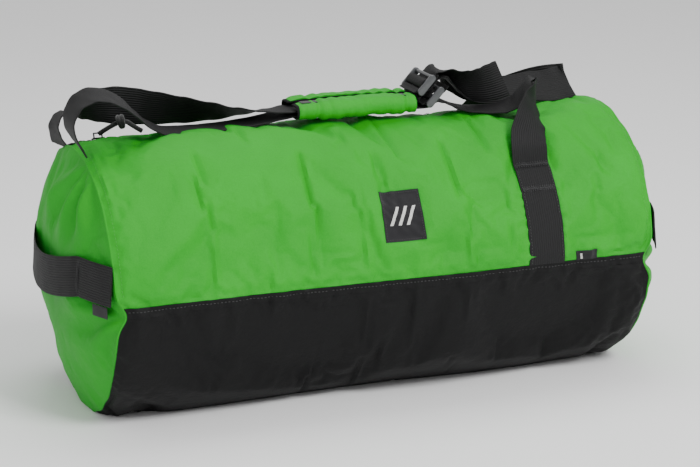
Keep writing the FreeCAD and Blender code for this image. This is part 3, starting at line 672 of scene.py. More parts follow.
def build_shell(sizes):
    """The cloth panels, hems and end seams."""
    fill_with_gear(sizes.packed_pressure)
    barrel_panel("front panel", ZIP + ZIP_HALF, FRONT_EDGE, FINISH["green"], 104, "front_panel")
    barrel_panel("back panel", BACK_EDGE, ZIP - ZIP_HALF, FINISH["green"], 104, "back_panel")
    barrel_panel("base panel", FRONT_EDGE, BACK_EDGE + 360, FINISH["base"], 142, "base_panel")
    end_panel(-1, "left_end_panel", "left end panel")
    end_panel(1, "right_end_panel", "right end panel")
    for edge, inward, label in ((FRONT_EDGE, 1, "front"), (BACK_EDGE, -1, "back")):
        hem = strip_on_skin(f"{label} base hem", -HALF_LENGTH + 0.001, HALF_LENGTH - 0.001,
                            edge - 0.4 * inward, edge + 3.6 * inward, 0.0011, 0.0011, FINISH["base"], 360, 4)
        rows = [skin_row(edge + 1.25 * inward, -HALF_LENGTH + 0.004, HALF_LENGTH - 0.004, 0.0012)]
        stitches(f"{label} hem stitching", rows, 0.0030, 0.0018, 0.00045, FINISH["dark_thread"])
    for side, label in ((-1, "left"), (1, "right")):
        x = side * (HALF_LENGTH - 0.0002)
        def place(u, v):
            turn = 2 * math.pi * v
            centre = skin(x, 360 * u - 180, -0.0004)
            outward = Vector((0, centre.y, centre.z - AXIS_Z)).normalized()
            spot = centre + outward * 0.0010 * math.cos(turn) + Vector((side * 0.0014 * math.sin(turn), 0, 0))
            spot.z = max(spot.z, FLOOR_GAP)
            return spot
        roll = shaped_sheet(f"{label} seam roll", 260, 10, place, 0, (1.1, 0.012), FINISH["green"], wrap=True)
        ring = skin_ring(side * (HALF_LENGTH - 0.008), ZIP + ZIP_HALF + 1, FRONT_EDGE - 5, 0.0002)
        back = skin_ring(side * (HALF_LENGTH - 0.008), BACK_EDGE + 5, ZIP - ZIP_HALF - 1, 0.0002)
        stitches(f"{label} seam stitching", [ring, back], 0.0030, 0.0018, 0.0003, FINISH["green_thread"])
    for node in ("left_seam_binding", "right_seam_binding"):
        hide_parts(node)


# ---- the zip --------------------------------------------------------------------------------------------

ZIP_HALF_LENGTH = 0.345


def zip_frame(x, height=0.0):
    """A placement on the zip whose own Z stands away from the bag."""
    spot = skin(x, ZIP, height)
    return Matrix.Translation(spot) @ Matrix.Rotation(math.radians(-ZIP), 4, "X").inverted()


def coil(name, side, material):
    """A continuous coil along one tape, made from a closely wound curve."""
    pitch = 0.0021
    turns = int((2 * ZIP_HALF_LENGTH - 0.024) / pitch)
    line = bpy.data.curves.new(name, "CURVE")
    line.dimensions = "3D"
    line.bevel_depth = 0.00038
    line.bevel_resolution = 1
    spline = line.splines.new("POLY")
    per_turn = 7
    spline.points.add(turns * per_turn - 1)
    start = -(turns * pitch) / 2
    for number in range(turns * per_turn):
        turn = 2 * math.pi * number / per_turn
        x = start + pitch * number / per_turn
        shift = side * (0.0017 + 0.0013 * math.cos(turn))
        out = 0.0008 + 0.0008 * math.sin(turn)
        degrees = ZIP + math.degrees(shift / RADIUS)
        spline.points[number].co = (*skin(x, degrees, out), 1.0)
    return curve_piece(name, line, material)


def rounded_block(build, centre, size, radius, matrix=Matrix.Identity(4), segments=3):
    """A block with rounded edges, put into a bmesh."""
    place = matrix @ Matrix.Translation(centre) @ Matrix.Diagonal((*size, 1.0))
    made = bmesh.ops.create_cube(build, size=1.0, matrix=place)
    edges = {edge for point in made["verts"] for edge in point.link_edges}
    bmesh.ops.bevel(build, geom=list(edges), offset=radius, segments=segments, affect="EDGES", profile=0.5,
                    material=-1, clamp_overlap=True)


def build_zip(sizes):
    """The tapes, end tabs, coils, slider and stops."""
    ends = 0.0225
    for label, first, last, node in (("front", ZIP + 0.35, ZIP + ZIP_HALF + 0.6, "zip_tape_front"),
                                     ("back", ZIP - ZIP_HALF - 0.6, ZIP - 0.35, "zip_tape_back")):
        tape = strip_on_skin(f"zip tape {label}", -ZIP_HALF_LENGTH, ZIP_HALF_LENGTH, first, last, -0.0005,
                             0.0007, FINISH["zip_tape"], 300, 6)
        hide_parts(node)
    for label, side in (("left", -1), ("right", 1)):
        inner, outer = side * (HALF_LENGTH - ends), side * (HALF_LENGTH - 0.0005)
        tab = strip_on_skin(f"zip end tab {label}", min(inner, outer), max(inner, outer), ZIP - ZIP_HALF,
                            ZIP + ZIP_HALF, 0.0012, 0.0012, FINISH["base"], 16, 16)
        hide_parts(f"zip_end_tab_{label}")
    for label, side in (("front", 1), ("back", -1)):
        row = coil(f"zip coil {label}", side, FINISH["coil"])
        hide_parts(f"zip_teeth_{label}")
    edges = []
    for degrees in (ZIP + ZIP_HALF + 1.0, ZIP - ZIP_HALF - 1.0):
        edges.append(skin_row(degrees, -ZIP_HALF_LENGTH, ZIP_HALF_LENGTH, 0.0002))
    stitches("zip stitching", edges, 0.0028, 0.0016, 0.0003, FINISH["green_thread"])
    build = bmesh.new()
    on = zip_frame(-0.323)
    rounded_block(build, (0, 0, 0.00305), (0.016, 0.010, 0.0015), 0.0007, on)
    rounded_block(build, (0, 0, -0.0038), (0.016, 0.010, 0.0014), 0.0006, on)
    rounded_block(build, (0, 0, -0.0004), (0.007, 0.0012, 0.0060), 0.0004, on, 1)
    for x in (-0.0054, 0.0054):
        rounded_block(build, (x, 0, 0.0062), (0.0018, 0.003, 0.0060), 0.0006, on)
    rounded_block(build, (0, 0, 0.0098), (0.0126, 0.003, 0.0018), 0.0007, on)
    slider = finish_object("zip slider", bpy.data.meshes.new("zip slider"), build)
    slider.data.materials.append(FINISH["zinc"])
    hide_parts("zip_slider")
    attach(slider, "zip_pull")
    for label, side in (("left", -1), ("right", 1)):
        build = bmesh.new()
        on = zip_frame(side * 0.3362, 0.0001)
        rounded_block(build, (0, 0, 0.0011), (0.0045, 0.0072, 0.0019), 0.0006, on)
        stop = finish_object(f"zip stop {label}", bpy.data.meshes.new("stop"), build)
        stop.data.materials.append(FINISH["zinc"])
        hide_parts(f"zip_stop_{label}")


# ---- webbing --------------------------------------------------------------------------------------------

def webbing(name, stations, node, count, thick=WEB_THICK, material="web"):
    """Webbing with soft edges through stations of centre, width direction and width."""
    rows = [Vector(place) for place, across, width in stations]
    turns = []
    last = Vector(stations[0][1])
    for index, (place, across, width) in enumerate(stations):
        ahead = rows[min(index + 1, len(rows) - 1)] - rows[max(index - 1, 0)]
        ahead.normalize()
        across = Vector(across)
        across = (across - ahead * across.dot(ahead)).normalized()
        across = -across if across.dot(last) < 0 else across
        last = across
        turns.append(across)
    packed = [Vector((*row, index)) for index, row in enumerate(rows)]
    spots, run = along_line(packed, count)
    sections = []
    for number, spot in enumerate(spots):
        index = min(int(spot.w), len(rows) - 2)
        share = min(max(spot.w - index, 0.0), 1.0)
        share = share * share * (3 - 2 * share)
        width = stations[index][2] * (1 - share) + stations[index + 1][2] * share
        across = turns[index].lerp(turns[index + 1], share)
        ahead = (spots[min(number + 1, count - 1)] - spots[max(number - 1, 0)]).xyz.normalized()
        across = (across - ahead * across.dot(ahead)).normalized()
        sections.append((spot.xyz, across, across.cross(ahead).normalized(), width))
    return webbing_tube(name, sections, run, thick, node, material)


def webbing_tube(name, sections, run, thick, node, material):
    """Bridges rounded rings of points into a closed band of webbing."""
    outline = [(-0.93, -1.0), (-0.6, -1.0), (-0.2, -1.0), (0.2, -1.0), (0.6, -1.0), (0.93, -1.0),
               (0.99, -0.6), (1.0, 0.0), (0.99, 0.6), (0.93, 1.0), (0.6, 1.0), (0.2, 1.0), (-0.2, 1.0),
               (-0.6, 1.0),
               (-0.93, 1.0), (-0.99, 0.6), (-1.0, 0.0), (-0.99, -0.6)]
    around = len(outline)
    count = len(sections)
    build = bmesh.new()
    bmesh.ops.create_grid(build, x_segments=count - 1, y_segments=around, size=0.5)
    layer = build.loops.layers.uv.new("cloth")
    shares = {point: (point.co.x + 0.5, point.co.y + 0.5) for point in build.verts}
    widest = sections[0][3]
    for face in build.faces:
        for corner in face.loops:
            u, v = shares[corner.vert]
            side = outline[int(round(v * around)) % around][0]
            corner[layer].uv = (u * run, side * widest / 2)
    for point in build.verts:
        u, v = shares[point]
        centre, across, face, width = sections[int(round(u * (count - 1)))]
        side, height = outline[int(round(v * around)) % around]
        wobble = 0.0003 * lump(u * run * 60, side * 2, len(name))
        point.co = centre + across * (width / 2 * side) + face * (thick / 2 * height + wobble)
    bmesh.ops.remove_doubles(build, verts=build.verts, dist=1e-6)
    bmesh.ops.holes_fill(build, edges=[edge for edge in build.edges if edge.is_boundary], sides=0)
    piece = finish_object(name, bpy.data.meshes.new(name), build, 50)
    piece.data.materials.append(FINISH[material])
    if node:
        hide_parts(node)
    return piece


def sewn(first, last):
    """Stations of webbing sewn flat on the barrel."""
    places = []
    for step in range(13):
        degrees = first + (last - first) * step / 12
        places.append((tuple(skin(ANCHOR_X, degrees, 0.0013)), (1, 0, 0), WEB))
    return places


def at_lock(which, along, height):
    """A station beside a ladder lock, from millimetres along its rails and square to them."""
    centre = LOCKS[which]
    tilt = math.radians(LOCK_TILT)
    x = centre.x + (along * math.cos(tilt) - height * math.sin(tilt)) / 1000
    z = centre.z + (along * math.sin(tilt) + height * math.cos(tilt)) / 1000
    return ((x, centre.y, z), (0, 1, 0), WEB)


OVER_MIDDLE_BAR = [(-1.5, -8.6), (-5.6, -6.2), (-6.8, -1.8), (-6.0, 2.6), (-3.0, 5.3), (0.8, 5.9),
                   (4.2, 4.6), (6.4, 1.2), (7.2, -2.6), (9.4, -5.6), (13.4, -6.7)]
TAIL = [(18.0, -6.8), (23.5, -6.4)]


def loop_round_bar(which, start):
    """Webbing round a lock's fixed bar and back on itself."""
    middle = Vector(at_lock(which, -13.0, 0.0)[0])
    places = []
    for degrees in range(start, 151, 30):
        turn = math.radians(degrees)
        spot = middle + Vector((math.cos(turn), 0, math.sin(turn))) * 0.004
        places.append((tuple(spot), (0, 1, 0), WEB))
    places.append((tuple(middle + Vector((-0.0085, 0, 0))), (0, 1, 0), WEB))
    return places


def build_straps(sizes):
    """The four carry straps and the thread that sews them down."""
    wide = sizes.webbing_width
    front = sewn(FRONT_EDGE - 0.3, SEWN_TO_FRONT)
    front += [
        ((0.212, -0.113, 0.315), (1, 0, 0), wide),
        ((0.216, -0.102, 0.328), (0.99, 0.10, -0.05), wide),
        ((0.226, -0.087, 0.343), (0.92, 0.32, -0.20), wide),
        ((0.237, -0.067, 0.36), (0.72, 0.66, -0.22), wide),
        ((0.246, -0.055, 0.374), (0.50, 0.85, -0.15), wide),
        ((0.25, -0.048, 0.384), (0.32, 0.94, -0.05), wide),
        ((0.2485, -0.045, 0.3885), (0.25, 0.97, 0.00), wide),
        ((0.2445, -0.043, 0.3865), (0.25, 0.97, 0.00), wide),
        ((0.24, -0.039, 0.377), (0.20, 0.98, 0.00), wide),
        ((0.233, -0.033, 0.364), (0.12, 0.99, 0.00), wide),
        ((0.222, -0.025, 0.3535), (0.05, 1.00, 0.00), wide),
        ((0.205, -0.017, 0.3485), (0, 1, 0), wide),
        ((0.182, -0.008, 0.3476), (0, 1, 0), wide),
        ((0.16, 0.001, 0.35), (0, 1, 0), wide),
        ((0.147, 0.006, 0.355), (0, 1, 0), wide),
        ((0.136, 0.008, 0.36), (0, 1, 0), wide),
        ((0.128, 0.008, 0.362), (0, 1, 0), wide),
    ]
    front += [at_lock("front", *step) for step in OVER_MIDDLE_BAR + TAIL]
    webbing("front right strap", front, "front_strap_right", 330)

    rear = sewn(BACK_EDGE + 0.3, SEWN_TO_BACK)
    rear += [
        ((0.216, 0.169, 0.232), (1, 0, 0), wide),
        ((0.224, 0.157, 0.27), (0.98, 0.00, -0.10), wide),
        ((0.24, 0.137, 0.305), (0.93, 0.00, -0.30), wide),
        ((0.262, 0.11, 0.333), (0.80, -0.10, -0.55), wide),
        ((0.287, 0.082, 0.350), (0.60, -0.25, -0.75), wide),
        ((0.309, 0.057, 0.360), (0.40, -0.45, -0.80), wide),
        ((0.325, 0.043, 0.364), (0.28, -0.58, -0.76), wide),
        ((0.333, 0.036, 0.3655), (0.28, -0.58, -0.76), wide),
        ((0.336, 0.031, 0.367), (0.28, -0.58, -0.76), wide),
        ((0.333, 0.027, 0.3675), (0.24, -0.60, -0.76), wide),
        ((0.322, 0.024, 0.367), (0.18, -0.64, -0.74), wide),
        ((0.303, 0.022, 0.365), (0.08, -0.70, -0.70), wide),
        ((0.279, 0.025, 0.365), (0.00, -0.76, -0.65), wide),
        ((0.252, 0.031, 0.3615), (0.00, -0.80, -0.60), wide),
        ((0.226, 0.038, 0.361), (0.00, -0.85, -0.53), wide),
        ((0.2, 0.04, 0.362), (0.00, -0.85, -0.53), wide),
        ((0.176, 0.034, 0.369), (0.00, -0.90, -0.44), wide),
        ((0.158, 0.024, 0.379), (0.00, -0.95, -0.30), wide),
        ((0.145, 0.017, 0.389), (0.00, -0.98, -0.15), wide),
        ((0.134, 0.014, 0.3955), (0.00, -1.00, 0.00), wide),
    ]
    rear += [at_lock("rear", *step) for step in [(15.0, -9.2), (6.0, -9.2)] + OVER_MIDDLE_BAR + TAIL]
    rear += [
        ((0.1335, 0.012, 0.4010), (0, 1, 0), wide),
        ((0.146, 0.010, 0.3955), (0, 0.92, -0.40), wide),
        ((0.163, 0.009, 0.384), (0, 0.65, -0.75), wide),
        ((0.185, 0.008, 0.3775), (0, 0.35, -0.94), wide),
        ((0.208, 0.009, 0.3785), (0.20, 0.00, -0.98), wide),
        ((0.230, 0.014, 0.3820), (0.42, -0.35, -0.82), wide),
    ]
    webbing("rear right strap", rear, "rear_strap_right", 520)

    front_left = [
        ((-0.3685, -0.041, 0.3415), (0, 0.975, 0.22), wide),
        ((-0.379, -0.041, 0.357), (0, 1, 0.1), wide),
        ((-0.386, -0.04, 0.376), (0, 1, 0.1), wide),
        ((-0.38, -0.037, 0.396), (0, 1, 0.12), wide),
        ((-0.364, -0.033, 0.408), (0, 1, 0.15), wide),
        ((-0.344, -0.028, 0.41), (0, 1, 0.18), wide),
        ((-0.322, -0.022, 0.402), (0, 1, 0.2), wide),
        ((-0.302, -0.014, 0.388), (0, 1, 0.2), wide),
        ((-0.284, -0.005, 0.371), (0, 1, 0.15), wide),
        ((-0.264, 0.004, 0.356), (0, 1, 0.1), wide),
        ((-0.24, 0.01, 0.3485), (0, 1, 0), wide),
        ((-0.205, 0.012, 0.347), (0, 1, 0), wide),
        ((-0.165, 0.011, 0.348), (0, 1, 0), wide),
        ((-0.125, 0.009, 0.352), (0, 1, 0), wide),
        ((-0.092, 0.008, 0.357), (0, 1, 0), wide),
        ((-0.06, 0.008, 0.359), (0, 1, 0), wide),
        ((0.07, 0.008, 0.3575), (0, 1, 0), wide),
        ((0.092, 0.008, 0.3566), (0, 1, 0), wide),
    ]
    webbing("front left strap", front_left + loop_round_bar("front", -90), "front_strap_left", 400)

    rear_left = [
        ((-0.3685, 0.081, 0.325), (0, 0.89, -0.457), wide),
        ((-0.375, 0.08, 0.342), (0, 0.93, -0.37), wide),
        ((-0.374, 0.079, 0.357), (0, 0.97, -0.20), wide),
        ((-0.366, 0.078, 0.367), (0, 0.97, -0.20), wide),
        ((-0.353, 0.077, 0.372), (0, 0.85, -0.50), wide),
        ((-0.335, 0.076, 0.374), (0, 0.60, -0.80), wide),
        ((-0.315, 0.075, 0.3745), (0, 0.30, -0.95), wide),
        ((-0.295, 0.075, 0.373), (0, 0.08, -1.00), wide),
        ((-0.272, 0.073, 0.37), (0, 0.15, -0.99), wide),
        ((-0.246, 0.069, 0.3665), (0, 0.35, -0.94), wide),
        ((-0.21, 0.06, 0.363), (0, 0.60, -0.80), wide),
        ((-0.175, 0.046, 0.3615), (0, 0.80, -0.60), wide),
        ((-0.142, 0.03, 0.362), (0, 0.93, -0.36), wide),
        ((-0.112, 0.016, 0.3635), (0, 0.98, -0.15), wide),
        ((-0.088, 0.007, 0.365), (0, 1, 0), 0.90 * wide),
        ((-0.06, 0.006, 0.3645), (0, 1, 0), 0.88 * wide),
        ((0.07, 0.006, 0.3638), (0, 1, 0), 0.88 * wide),
        ((0.088, 0.01, 0.3655), (0, 1, 0), wide),
    ]
    webbing("rear left strap", rear_left + loop_round_bar("rear", -60), "rear_strap_left", 400)

    for angle in (44.5, 56.0):
        rows = []
        for across in (-0.0225, -0.0195, -0.0165):
            rows.append([skin(ANCHOR_X + 0.0225 * (2 * i / 29 - 1), angle + (0.7 if i % 2 else -0.7)
                              + (across + 0.0195) * 300, 0.0028) for i in range(30)])
        stitches(f"bar tack {angle:.0f}", rows[:2], 0.0016, 0.0004, 0.0004, FINISH["dark_thread"])
    edges = []
    for shift in (-0.0222, 0.0222):
        edges.append(skin_ring(ANCHOR_X + shift, FRONT_EDGE - 1, 45, 0.0027))
    stitches("front anchor stitching", edges, 0.0026, 0.0014, 0.0004, FINISH["dark_thread"])


def rail_block(build, place, y, length, thick, wide):
    """One rail of a lock: a long bar with round ends."""
    lie = place @ Matrix.Translation((0, y, 0)) @ Matrix.Rotation(math.pi / 2, 4, "X")
    made = bmesh.ops.create_cone(build, cap_ends=True, segments=28, radius1=thick / 2, radius2=thick / 2,
                                 depth=wide, matrix=lie)
    for point in made["verts"]:
        local = place.inverted() @ point.co
        local.x += math.copysign((length - thick) / 2, local.x)
        point.co = place @ local
    edges = {edge for point in made["verts"] for edge in point.link_edges
             if abs((place.inverted() @ edge.verts[0].co).y - (place.inverted() @ edge.verts[1].co).y) < 1e-6}
    bmesh.ops.bevel(build, geom=list(edges), offset=0.0009, segments=3, affect="EDGES", profile=0.5,
                    material=-1, clamp_overlap=True)


def build_locks(sizes):
    """Both ladder locks: two rails and three bars each."""
    for which in ("front", "rear"):
        place = Matrix.Translation(LOCKS[which]) @ Matrix.Rotation(math.radians(-LOCK_TILT), 4, "Y")
        build = bmesh.new()
        half_wide = (WEB + 0.0016) / 2
        for side in (-1, 1):
            rail_block(build, place, side * (half_wide + 0.002), 0.033, 0.0100, 0.004)
        for bar in (-1, 0, 1):
            spot = place @ Matrix.Translation((bar * 0.013, 0, 0)) @ Matrix.Rotation(math.pi / 2, 4, "X")
            bmesh.ops.create_cone(build, cap_ends=True, segments=20, radius1=0.0025, radius2=0.0025,
                                  depth=2 * half_wide + 0.004, matrix=spot)
        lock = finish_object(f"{which} ladder lock", bpy.data.meshes.new("lock"), build, 35)
        lock.data.materials.append(FINISH["lock"])
        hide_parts(f"{which}_ladder_lock")
        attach(lock, f"{which}_lock")


# ---- handles and labels ---------------------------------------------------------------------------------

def dome_spot(side, y, z, out):
    """A point over an end panel, a distance outside the plain dome."""
    flat = math.hypot(y, z - AXIS_Z)
    x = HALF_LENGTH + BULGE - DOME + math.sqrt((DOME + out) ** 2 - flat ** 2)
    return Vector((side * x, y, z))


def dome_climb(side, y, z):
    """The direction of up the dome at a point."""
    return dome_spot(side, y, z + 0.001, 0) - dome_spot(side, y, z - 0.001, 0)


def build_handles(sizes):
    """The end handles, their tacks and the end label."""
    half_run = (0, 30, 60, 84, 95, HANDLE_FREE, 114, 124, 135, 146, 157, 168)
    for label, side in (("left", -1), ("right", 1)):
        stations = []
        for y in [-place for place in half_run[:0:-1]] + list(half_run):
            free = 0.0 if abs(y) >= HANDLE_FREE else math.cos(math.radians(90 * abs(y) / HANDLE_FREE))
            z = HANDLE_Z - 0.016 * free
            stations.append((dome_spot(side, y / 1000, z, 0.0022 + 0.007 * free ** 0.7),
                             dome_climb(side, y / 1000, z), sizes.webbing_width))
        webbing(f"{label} end handle", stations, f"{label}_end_handle", 220)
        tacks = []
        for y_side in (-1, 1):
            for y in (0.103, 0.1055):
                tacks.append([dome_spot(side, y_side * (y + (0.0008 if i % 2 else 0)),
                                        HANDLE_Z - 0.021 + 0.0014 * i, 0.0036) for i in range(31)])
        stitches(f"{label} handle tacks", tacks, 0.0014, 0.0003, 0.0005, FINISH["dark_thread"])
    stations = [(dome_spot(-1, y, 0.165, 0.0010), (0, 0, 1), 0.015)
                for y in (-0.160, -0.153, -0.147, -0.140, -0.134)]
    webbing("end label", stations, "end_label", 24, 0.0009, "label")


def mark_on(name, x, degrees, bars, out):
    """A plain woven mark made of short bars, each with a start and end in metres along and round the bag."""
    paths = []
    for (x0, up0), (x1, up1) in bars:
        points = []
        for step in range(9):
            share = step / 8
            along = x0 + (x1 - x0) * share
            up = up0 + (up1 - up0) * share
            points.append(skin(x + along, degrees - math.degrees(up / RADIUS), out))
        paths.append(points)
    return stitches(name, paths, 0.0011, 0.0001, 0.0005, FINISH["pale_thread"])


def build_labels(sizes):
    """The front label and the side flag with their marks."""
    half = math.degrees(0.0325 / RADIUS)
    front = strip_on_skin("front label", -0.011, 0.043, LABEL_TURN - half, LABEL_TURN + half, 0.0014, 0.0012,
                          FINISH["label"], 40, 50)
    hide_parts("front_label")
    rim = [skin_row(LABEL_TURN - half + 0.8, -0.009, 0.041, 0.0015, 20),
           skin_row(LABEL_TURN + half - 0.8, -0.009, 0.041, 0.0015, 20),
           skin_ring(-0.0088, LABEL_TURN - half + 0.8, LABEL_TURN + half - 0.8, 0.0015, 20),
           skin_ring(0.0408, LABEL_TURN - half + 0.8, LABEL_TURN + half - 0.8, 0.0015, 20)]
    stitches("front label stitching", rim, 0.0020, 0.0012, 0.0003, FINISH["dark_thread"])
    slants = []
    for stripe in (-0.011, 0.0, 0.011):
        for row in range(6):
            start = stripe - 0.0075 + row * 0.0007
            slants.append(((start, -0.012), (start + 0.012, 0.012)))
    mark_on("front label mark", LABEL_X, LABEL_TURN, slants, 0.0016)
    flag = strip_on_skin("side flag", 0.256, 0.286, FRONT_EDGE - 4.2, FRONT_EDGE - 0.2, 0.0012, 0.0010,
                         FINISH["label"], 24, 8)
    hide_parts("side_label")
    bars = [((-0.0090 + row * 0.0008, -0.0040), (-0.0090 + row * 0.0008, 0.0030)) for row in range(4)]
    mark_on("side flag mark", 0.271, FRONT_EDGE - 2.1, bars, 0.0013)


# ---- the grip -------------------------------------------------------------------------------------------

GRIP_START = -0.078
GRIP_LONG = 0.166
GRIP_LOW = 0.351
GRIP_ROLL = 0.013
FLAP_HINGE_Y = 0.022


def grip_half(name, side, roll_y, low_y, high_y, outer, inner, material, swollen):
    """A padded C: along the bottom, round its roll and back along the top, with quilted ends."""
    middle = GRIP_LOW + GRIP_ROLL
    slim = 0.0022
    outer, inner = outer - slim, inner - slim
    outline = []
    for radius, back in ((outer, False), (inner, True)):
        run = []
        for step in range(9):
            run.append((low_y + (roll_y - low_y) * step / 8, -radius))
        for step in range(1, 20):
            turn = math.radians(-90 + 180 * step / 19)
            run.append((roll_y + side * radius * math.cos(turn), radius * math.sin(turn)))
        for step in range(1, 8):
            run.append((roll_y + (high_y - roll_y) * step / 7, radius))
        outline += run[::-1] if back else run
    around = len(outline)
    build = bmesh.new()
    columns = 110
    bmesh.ops.create_grid(build, x_segments=columns, y_segments=around, size=0.5)
    layer = build.loops.layers.uv.new("cloth")
    shares = {point: (point.co.x + 0.5, point.co.y + 0.5) for point in build.verts}
    for face in build.faces:
        for corner in face.loops:
            u, v = shares[corner.vert]
            corner[layer].uv = (u * GRIP_LONG, v * 0.12)
    rings = (0.030, GRIP_LONG - 0.012)
    for point in build.verts:
        u, v = shares[point]
        index = int(round(v * around)) % around
        y, up = outline[index]
        along = u * GRIP_LONG
        is_outer = index < around / 2
        tight = sum(near(along - ring, 0.0035) for ring in rings)
        ends = near(along, 0.005) + near(GRIP_LONG - along, 0.005)
        puff = 0.0012 * (1 - tight) - 0.0014 * tight - 0.0008 * ends
        ripple = 0.0009 * lump(along * 32, v * 7 + side, 4.0)
        pucker = 0.0011 * lump(along * 120, v * 4, side)
        puff += (ripple + pucker) * (1 - ends)
        puff -= 0.0030 * near(along, 0.020)
        if not is_outer or not swollen:
            puff *= 0.5 if swollen else 0.3
        away = Vector((0, y - roll_y, up))
        if abs(y - roll_y) < 1e-9 or (y - roll_y) * side < 0:
            away = Vector((0, 0, up))
        away = away.normalized() * puff if away.length > 1e-6 else away
        bow = 0.0014 * math.sin(math.pi * u)
        low = -0.0006 if up < 0 else 0.0
        point.co = Vector((GRIP_START + along, y, middle + up + bow + low)) + away
    bmesh.ops.remove_doubles(build, verts=build.verts, dist=1e-7)
    piece = finish_object(name, bpy.data.meshes.new(name), build, 60)
    rim = bmesh.new()
    rim.from_mesh(piece.data)
    bmesh.ops.holes_fill(rim, edges=[edge for edge in rim.edges if edge.is_boundary], sides=0)
    bmesh.ops.recalc_face_normals(rim, faces=rim.faces)
    rim.to_mesh(piece.data)
    rim.free()
    piece.data.materials.append(material)
    return piece


def build_grip(sizes):
    """The grip's two halves, their padding and the closure strips."""
    cover, foam = 0.0012, 0.0036
    halves = (("cover", -1, -0.016, FLAP_HINGE_Y - 0.0004, 0.0, None),
              ("flap", 1, 0.032, FLAP_HINGE_Y + 0.0004, 0.015, "flap"))
    for label, side, roll_y, low_y, high_y, body in halves:
        outer = grip_half(f"grip {label}", side, roll_y, low_y, high_y, GRIP_ROLL, GRIP_ROLL - cover,
                          FINISH["green"], True)
        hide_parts(f"grip_{label}")
        inner = grip_half(f"grip {label} foam", side, roll_y, low_y, high_y, GRIP_ROLL - cover - 0.0002,
                          GRIP_ROLL - foam, FINISH["foam"], False)
        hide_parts("grip_foam" if label == "cover" else "flap_foam")
        if body:
            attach(outer, body)
            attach(inner, body)
    top = GRIP_LOW + 2 * GRIP_ROLL
    for label, y, z, node, body in (("hook strip", -0.006, top - 0.0024, "hook_strip", None),
                                    ("loop strip", 0.023, top - 0.0066, "loop_strip", "flap")):
        build = bmesh.new()
        rounded_block(build, (0.005, y, z), (0.146, 0.014, 0.001), 0.0003)
        strip = finish_object(label, bpy.data.meshes.new(label), build)
        strip.data.materials.append(FINISH["hook"])
        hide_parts(node)
        if body:
            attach(strip, body)


# ---- the zip pull ---------------------------------------------------------------------------------------

CORD_ROUTE = [(-0.322, 0.061, 0.3395), (-0.309, 0.056, 0.349), (-0.290, 0.051, 0.358),
              (-0.280, 0.0505, 0.350), (-0.267, 0.050, 0.3415)]
CORD_RADIUS = 0.0031


def curve_tube(name, points, radius, material, segments=4, closed=False):
    """A tube along a smooth curve, as a mesh."""
    line = bpy.data.curves.new(name, "CURVE")
    line.dimensions = "3D"
    line.bevel_depth = radius
    line.bevel_resolution = segments
    line.use_fill_caps = True
    line.resolution_u = 16
    spline = line.splines.new("NURBS")
    spline.points.add(len(points) - 1)
    for spot, place in zip(spline.points, points):
        spot.co = (*place, 1.0)
    spline.use_cyclic_u = closed
    spline.order_u = 3
    spline.use_endpoint_u = not closed
    return curve_piece(name, line, material)


def cord_line(count=60):
    """The cord's own centreline: a quadratic spline through the middles of its runs."""
    points = [Vector(place) for place in CORD_ROUTE]
    middles = [points[0]] + [(a + b) / 2 for a, b in zip(points[1:], points[2:-1])] + [points[-1]]
    line = []
    for number, corner in enumerate(points[1:-1]):
        first, last = middles[number], middles[number + 1]
        for step in range(count // 3):
            t = step / (count // 3)
            line.append(first * (1 - t) ** 2 + corner * 2 * t * (1 - t) + last * t * t)
    line.append(points[-1])
    return line


def build_pull(sizes):
    """The zip's pull cord and its knot."""
    line = cord_line()
    cord = curve_tube("pull cord", CORD_ROUTE, CORD_RADIUS, FINISH["cord"])
    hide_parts("pull_cord")
    middle, ahead = line[26], (line[30] - line[22]).normalized()
    turn = ahead.to_track_quat("Z", "Y")
    loops = []
    for step in range(26):
        angle = 2 * math.pi * 2 * step / 26
        reach = 2 * CORD_RADIUS + 0.0006
        loops.append(middle + turn @ Vector((reach * math.cos(angle), reach * math.sin(angle),
                                             0.0026 * math.sin(angle / 2 + 0.6))))
    knot = curve_tube("pull knot", loops, CORD_RADIUS, FINISH["cord"], 4, True)
    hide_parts("pull_knot")
    for piece in (cord, knot):
        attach(piece, "zip_pull")
        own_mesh(piece)


# ---- the stage ------------------------------------------------------------------------------------------

def build_stage(sizes):
    """The camera, the floor and the lights."""
    scene = bpy.context.scene
    camera_data = bpy.data.cameras.new("camera")
    camera = bpy.data.objects.new("camera", camera_data)
    scene.collection.objects.link(camera)
    scene.camera = camera
    ahead = Vector((0.3487, 0.8984, -0.2671)).normalized()
    camera.location = (-1.0885, -2.8516, 1.0160)
    camera.rotation_euler = ahead.to_track_quat("-Z", "Y").to_euler()
    camera_data.sensor_width = 36.0
    camera_data.lens = 121.6
    camera_data.shift_x = -0.0149
    camera_data.shift_y = 0.0203
    camera_data.clip_end = 50
    build = bmesh.new()
    bmesh.ops.create_grid(build, x_segments=1, y_segments=1, size=9.0)
    floor = bpy.data.objects.new("floor", bpy.data.meshes.new("floor"))
    build.to_mesh(floor.data)
    build.free()
    scene.collection.objects.link(floor)
    floor.data.materials.append(new_material("plain pale floor", "#F4F4F4", 0.9)[0])
    world = bpy.data.worlds.new("soft room")
    scene.world = world
    world.use_nodes = True
    world.node_tree.nodes["Background"].inputs["Color"].default_value = (1, 1, 1, 1)
    world.node_tree.nodes["Background"].inputs["Strength"].default_value = 0.75
    lamps = (("key light", (0.9, -2.3, 2.4), 1.1, 95.0), ("fill light", (-2.2, -1.2, 1.2), 2.0, 9.0),
             ("top light", (0.2, 0.6, 2.4), 1.4, 20.0))
    for name, place, size, power in lamps:
        data = bpy.data.lights.new(name, "AREA")
        data.energy = power
        data.size = size
        lamp = bpy.data.objects.new(name.replace(" ", "-"), data)
        scene.collection.objects.link(lamp)
        lamp.location = place
        lamp.rotation_euler = (Vector((0, 0, 0.2)) - Vector(place)).to_track_quat("-Z", "Y").to_euler()


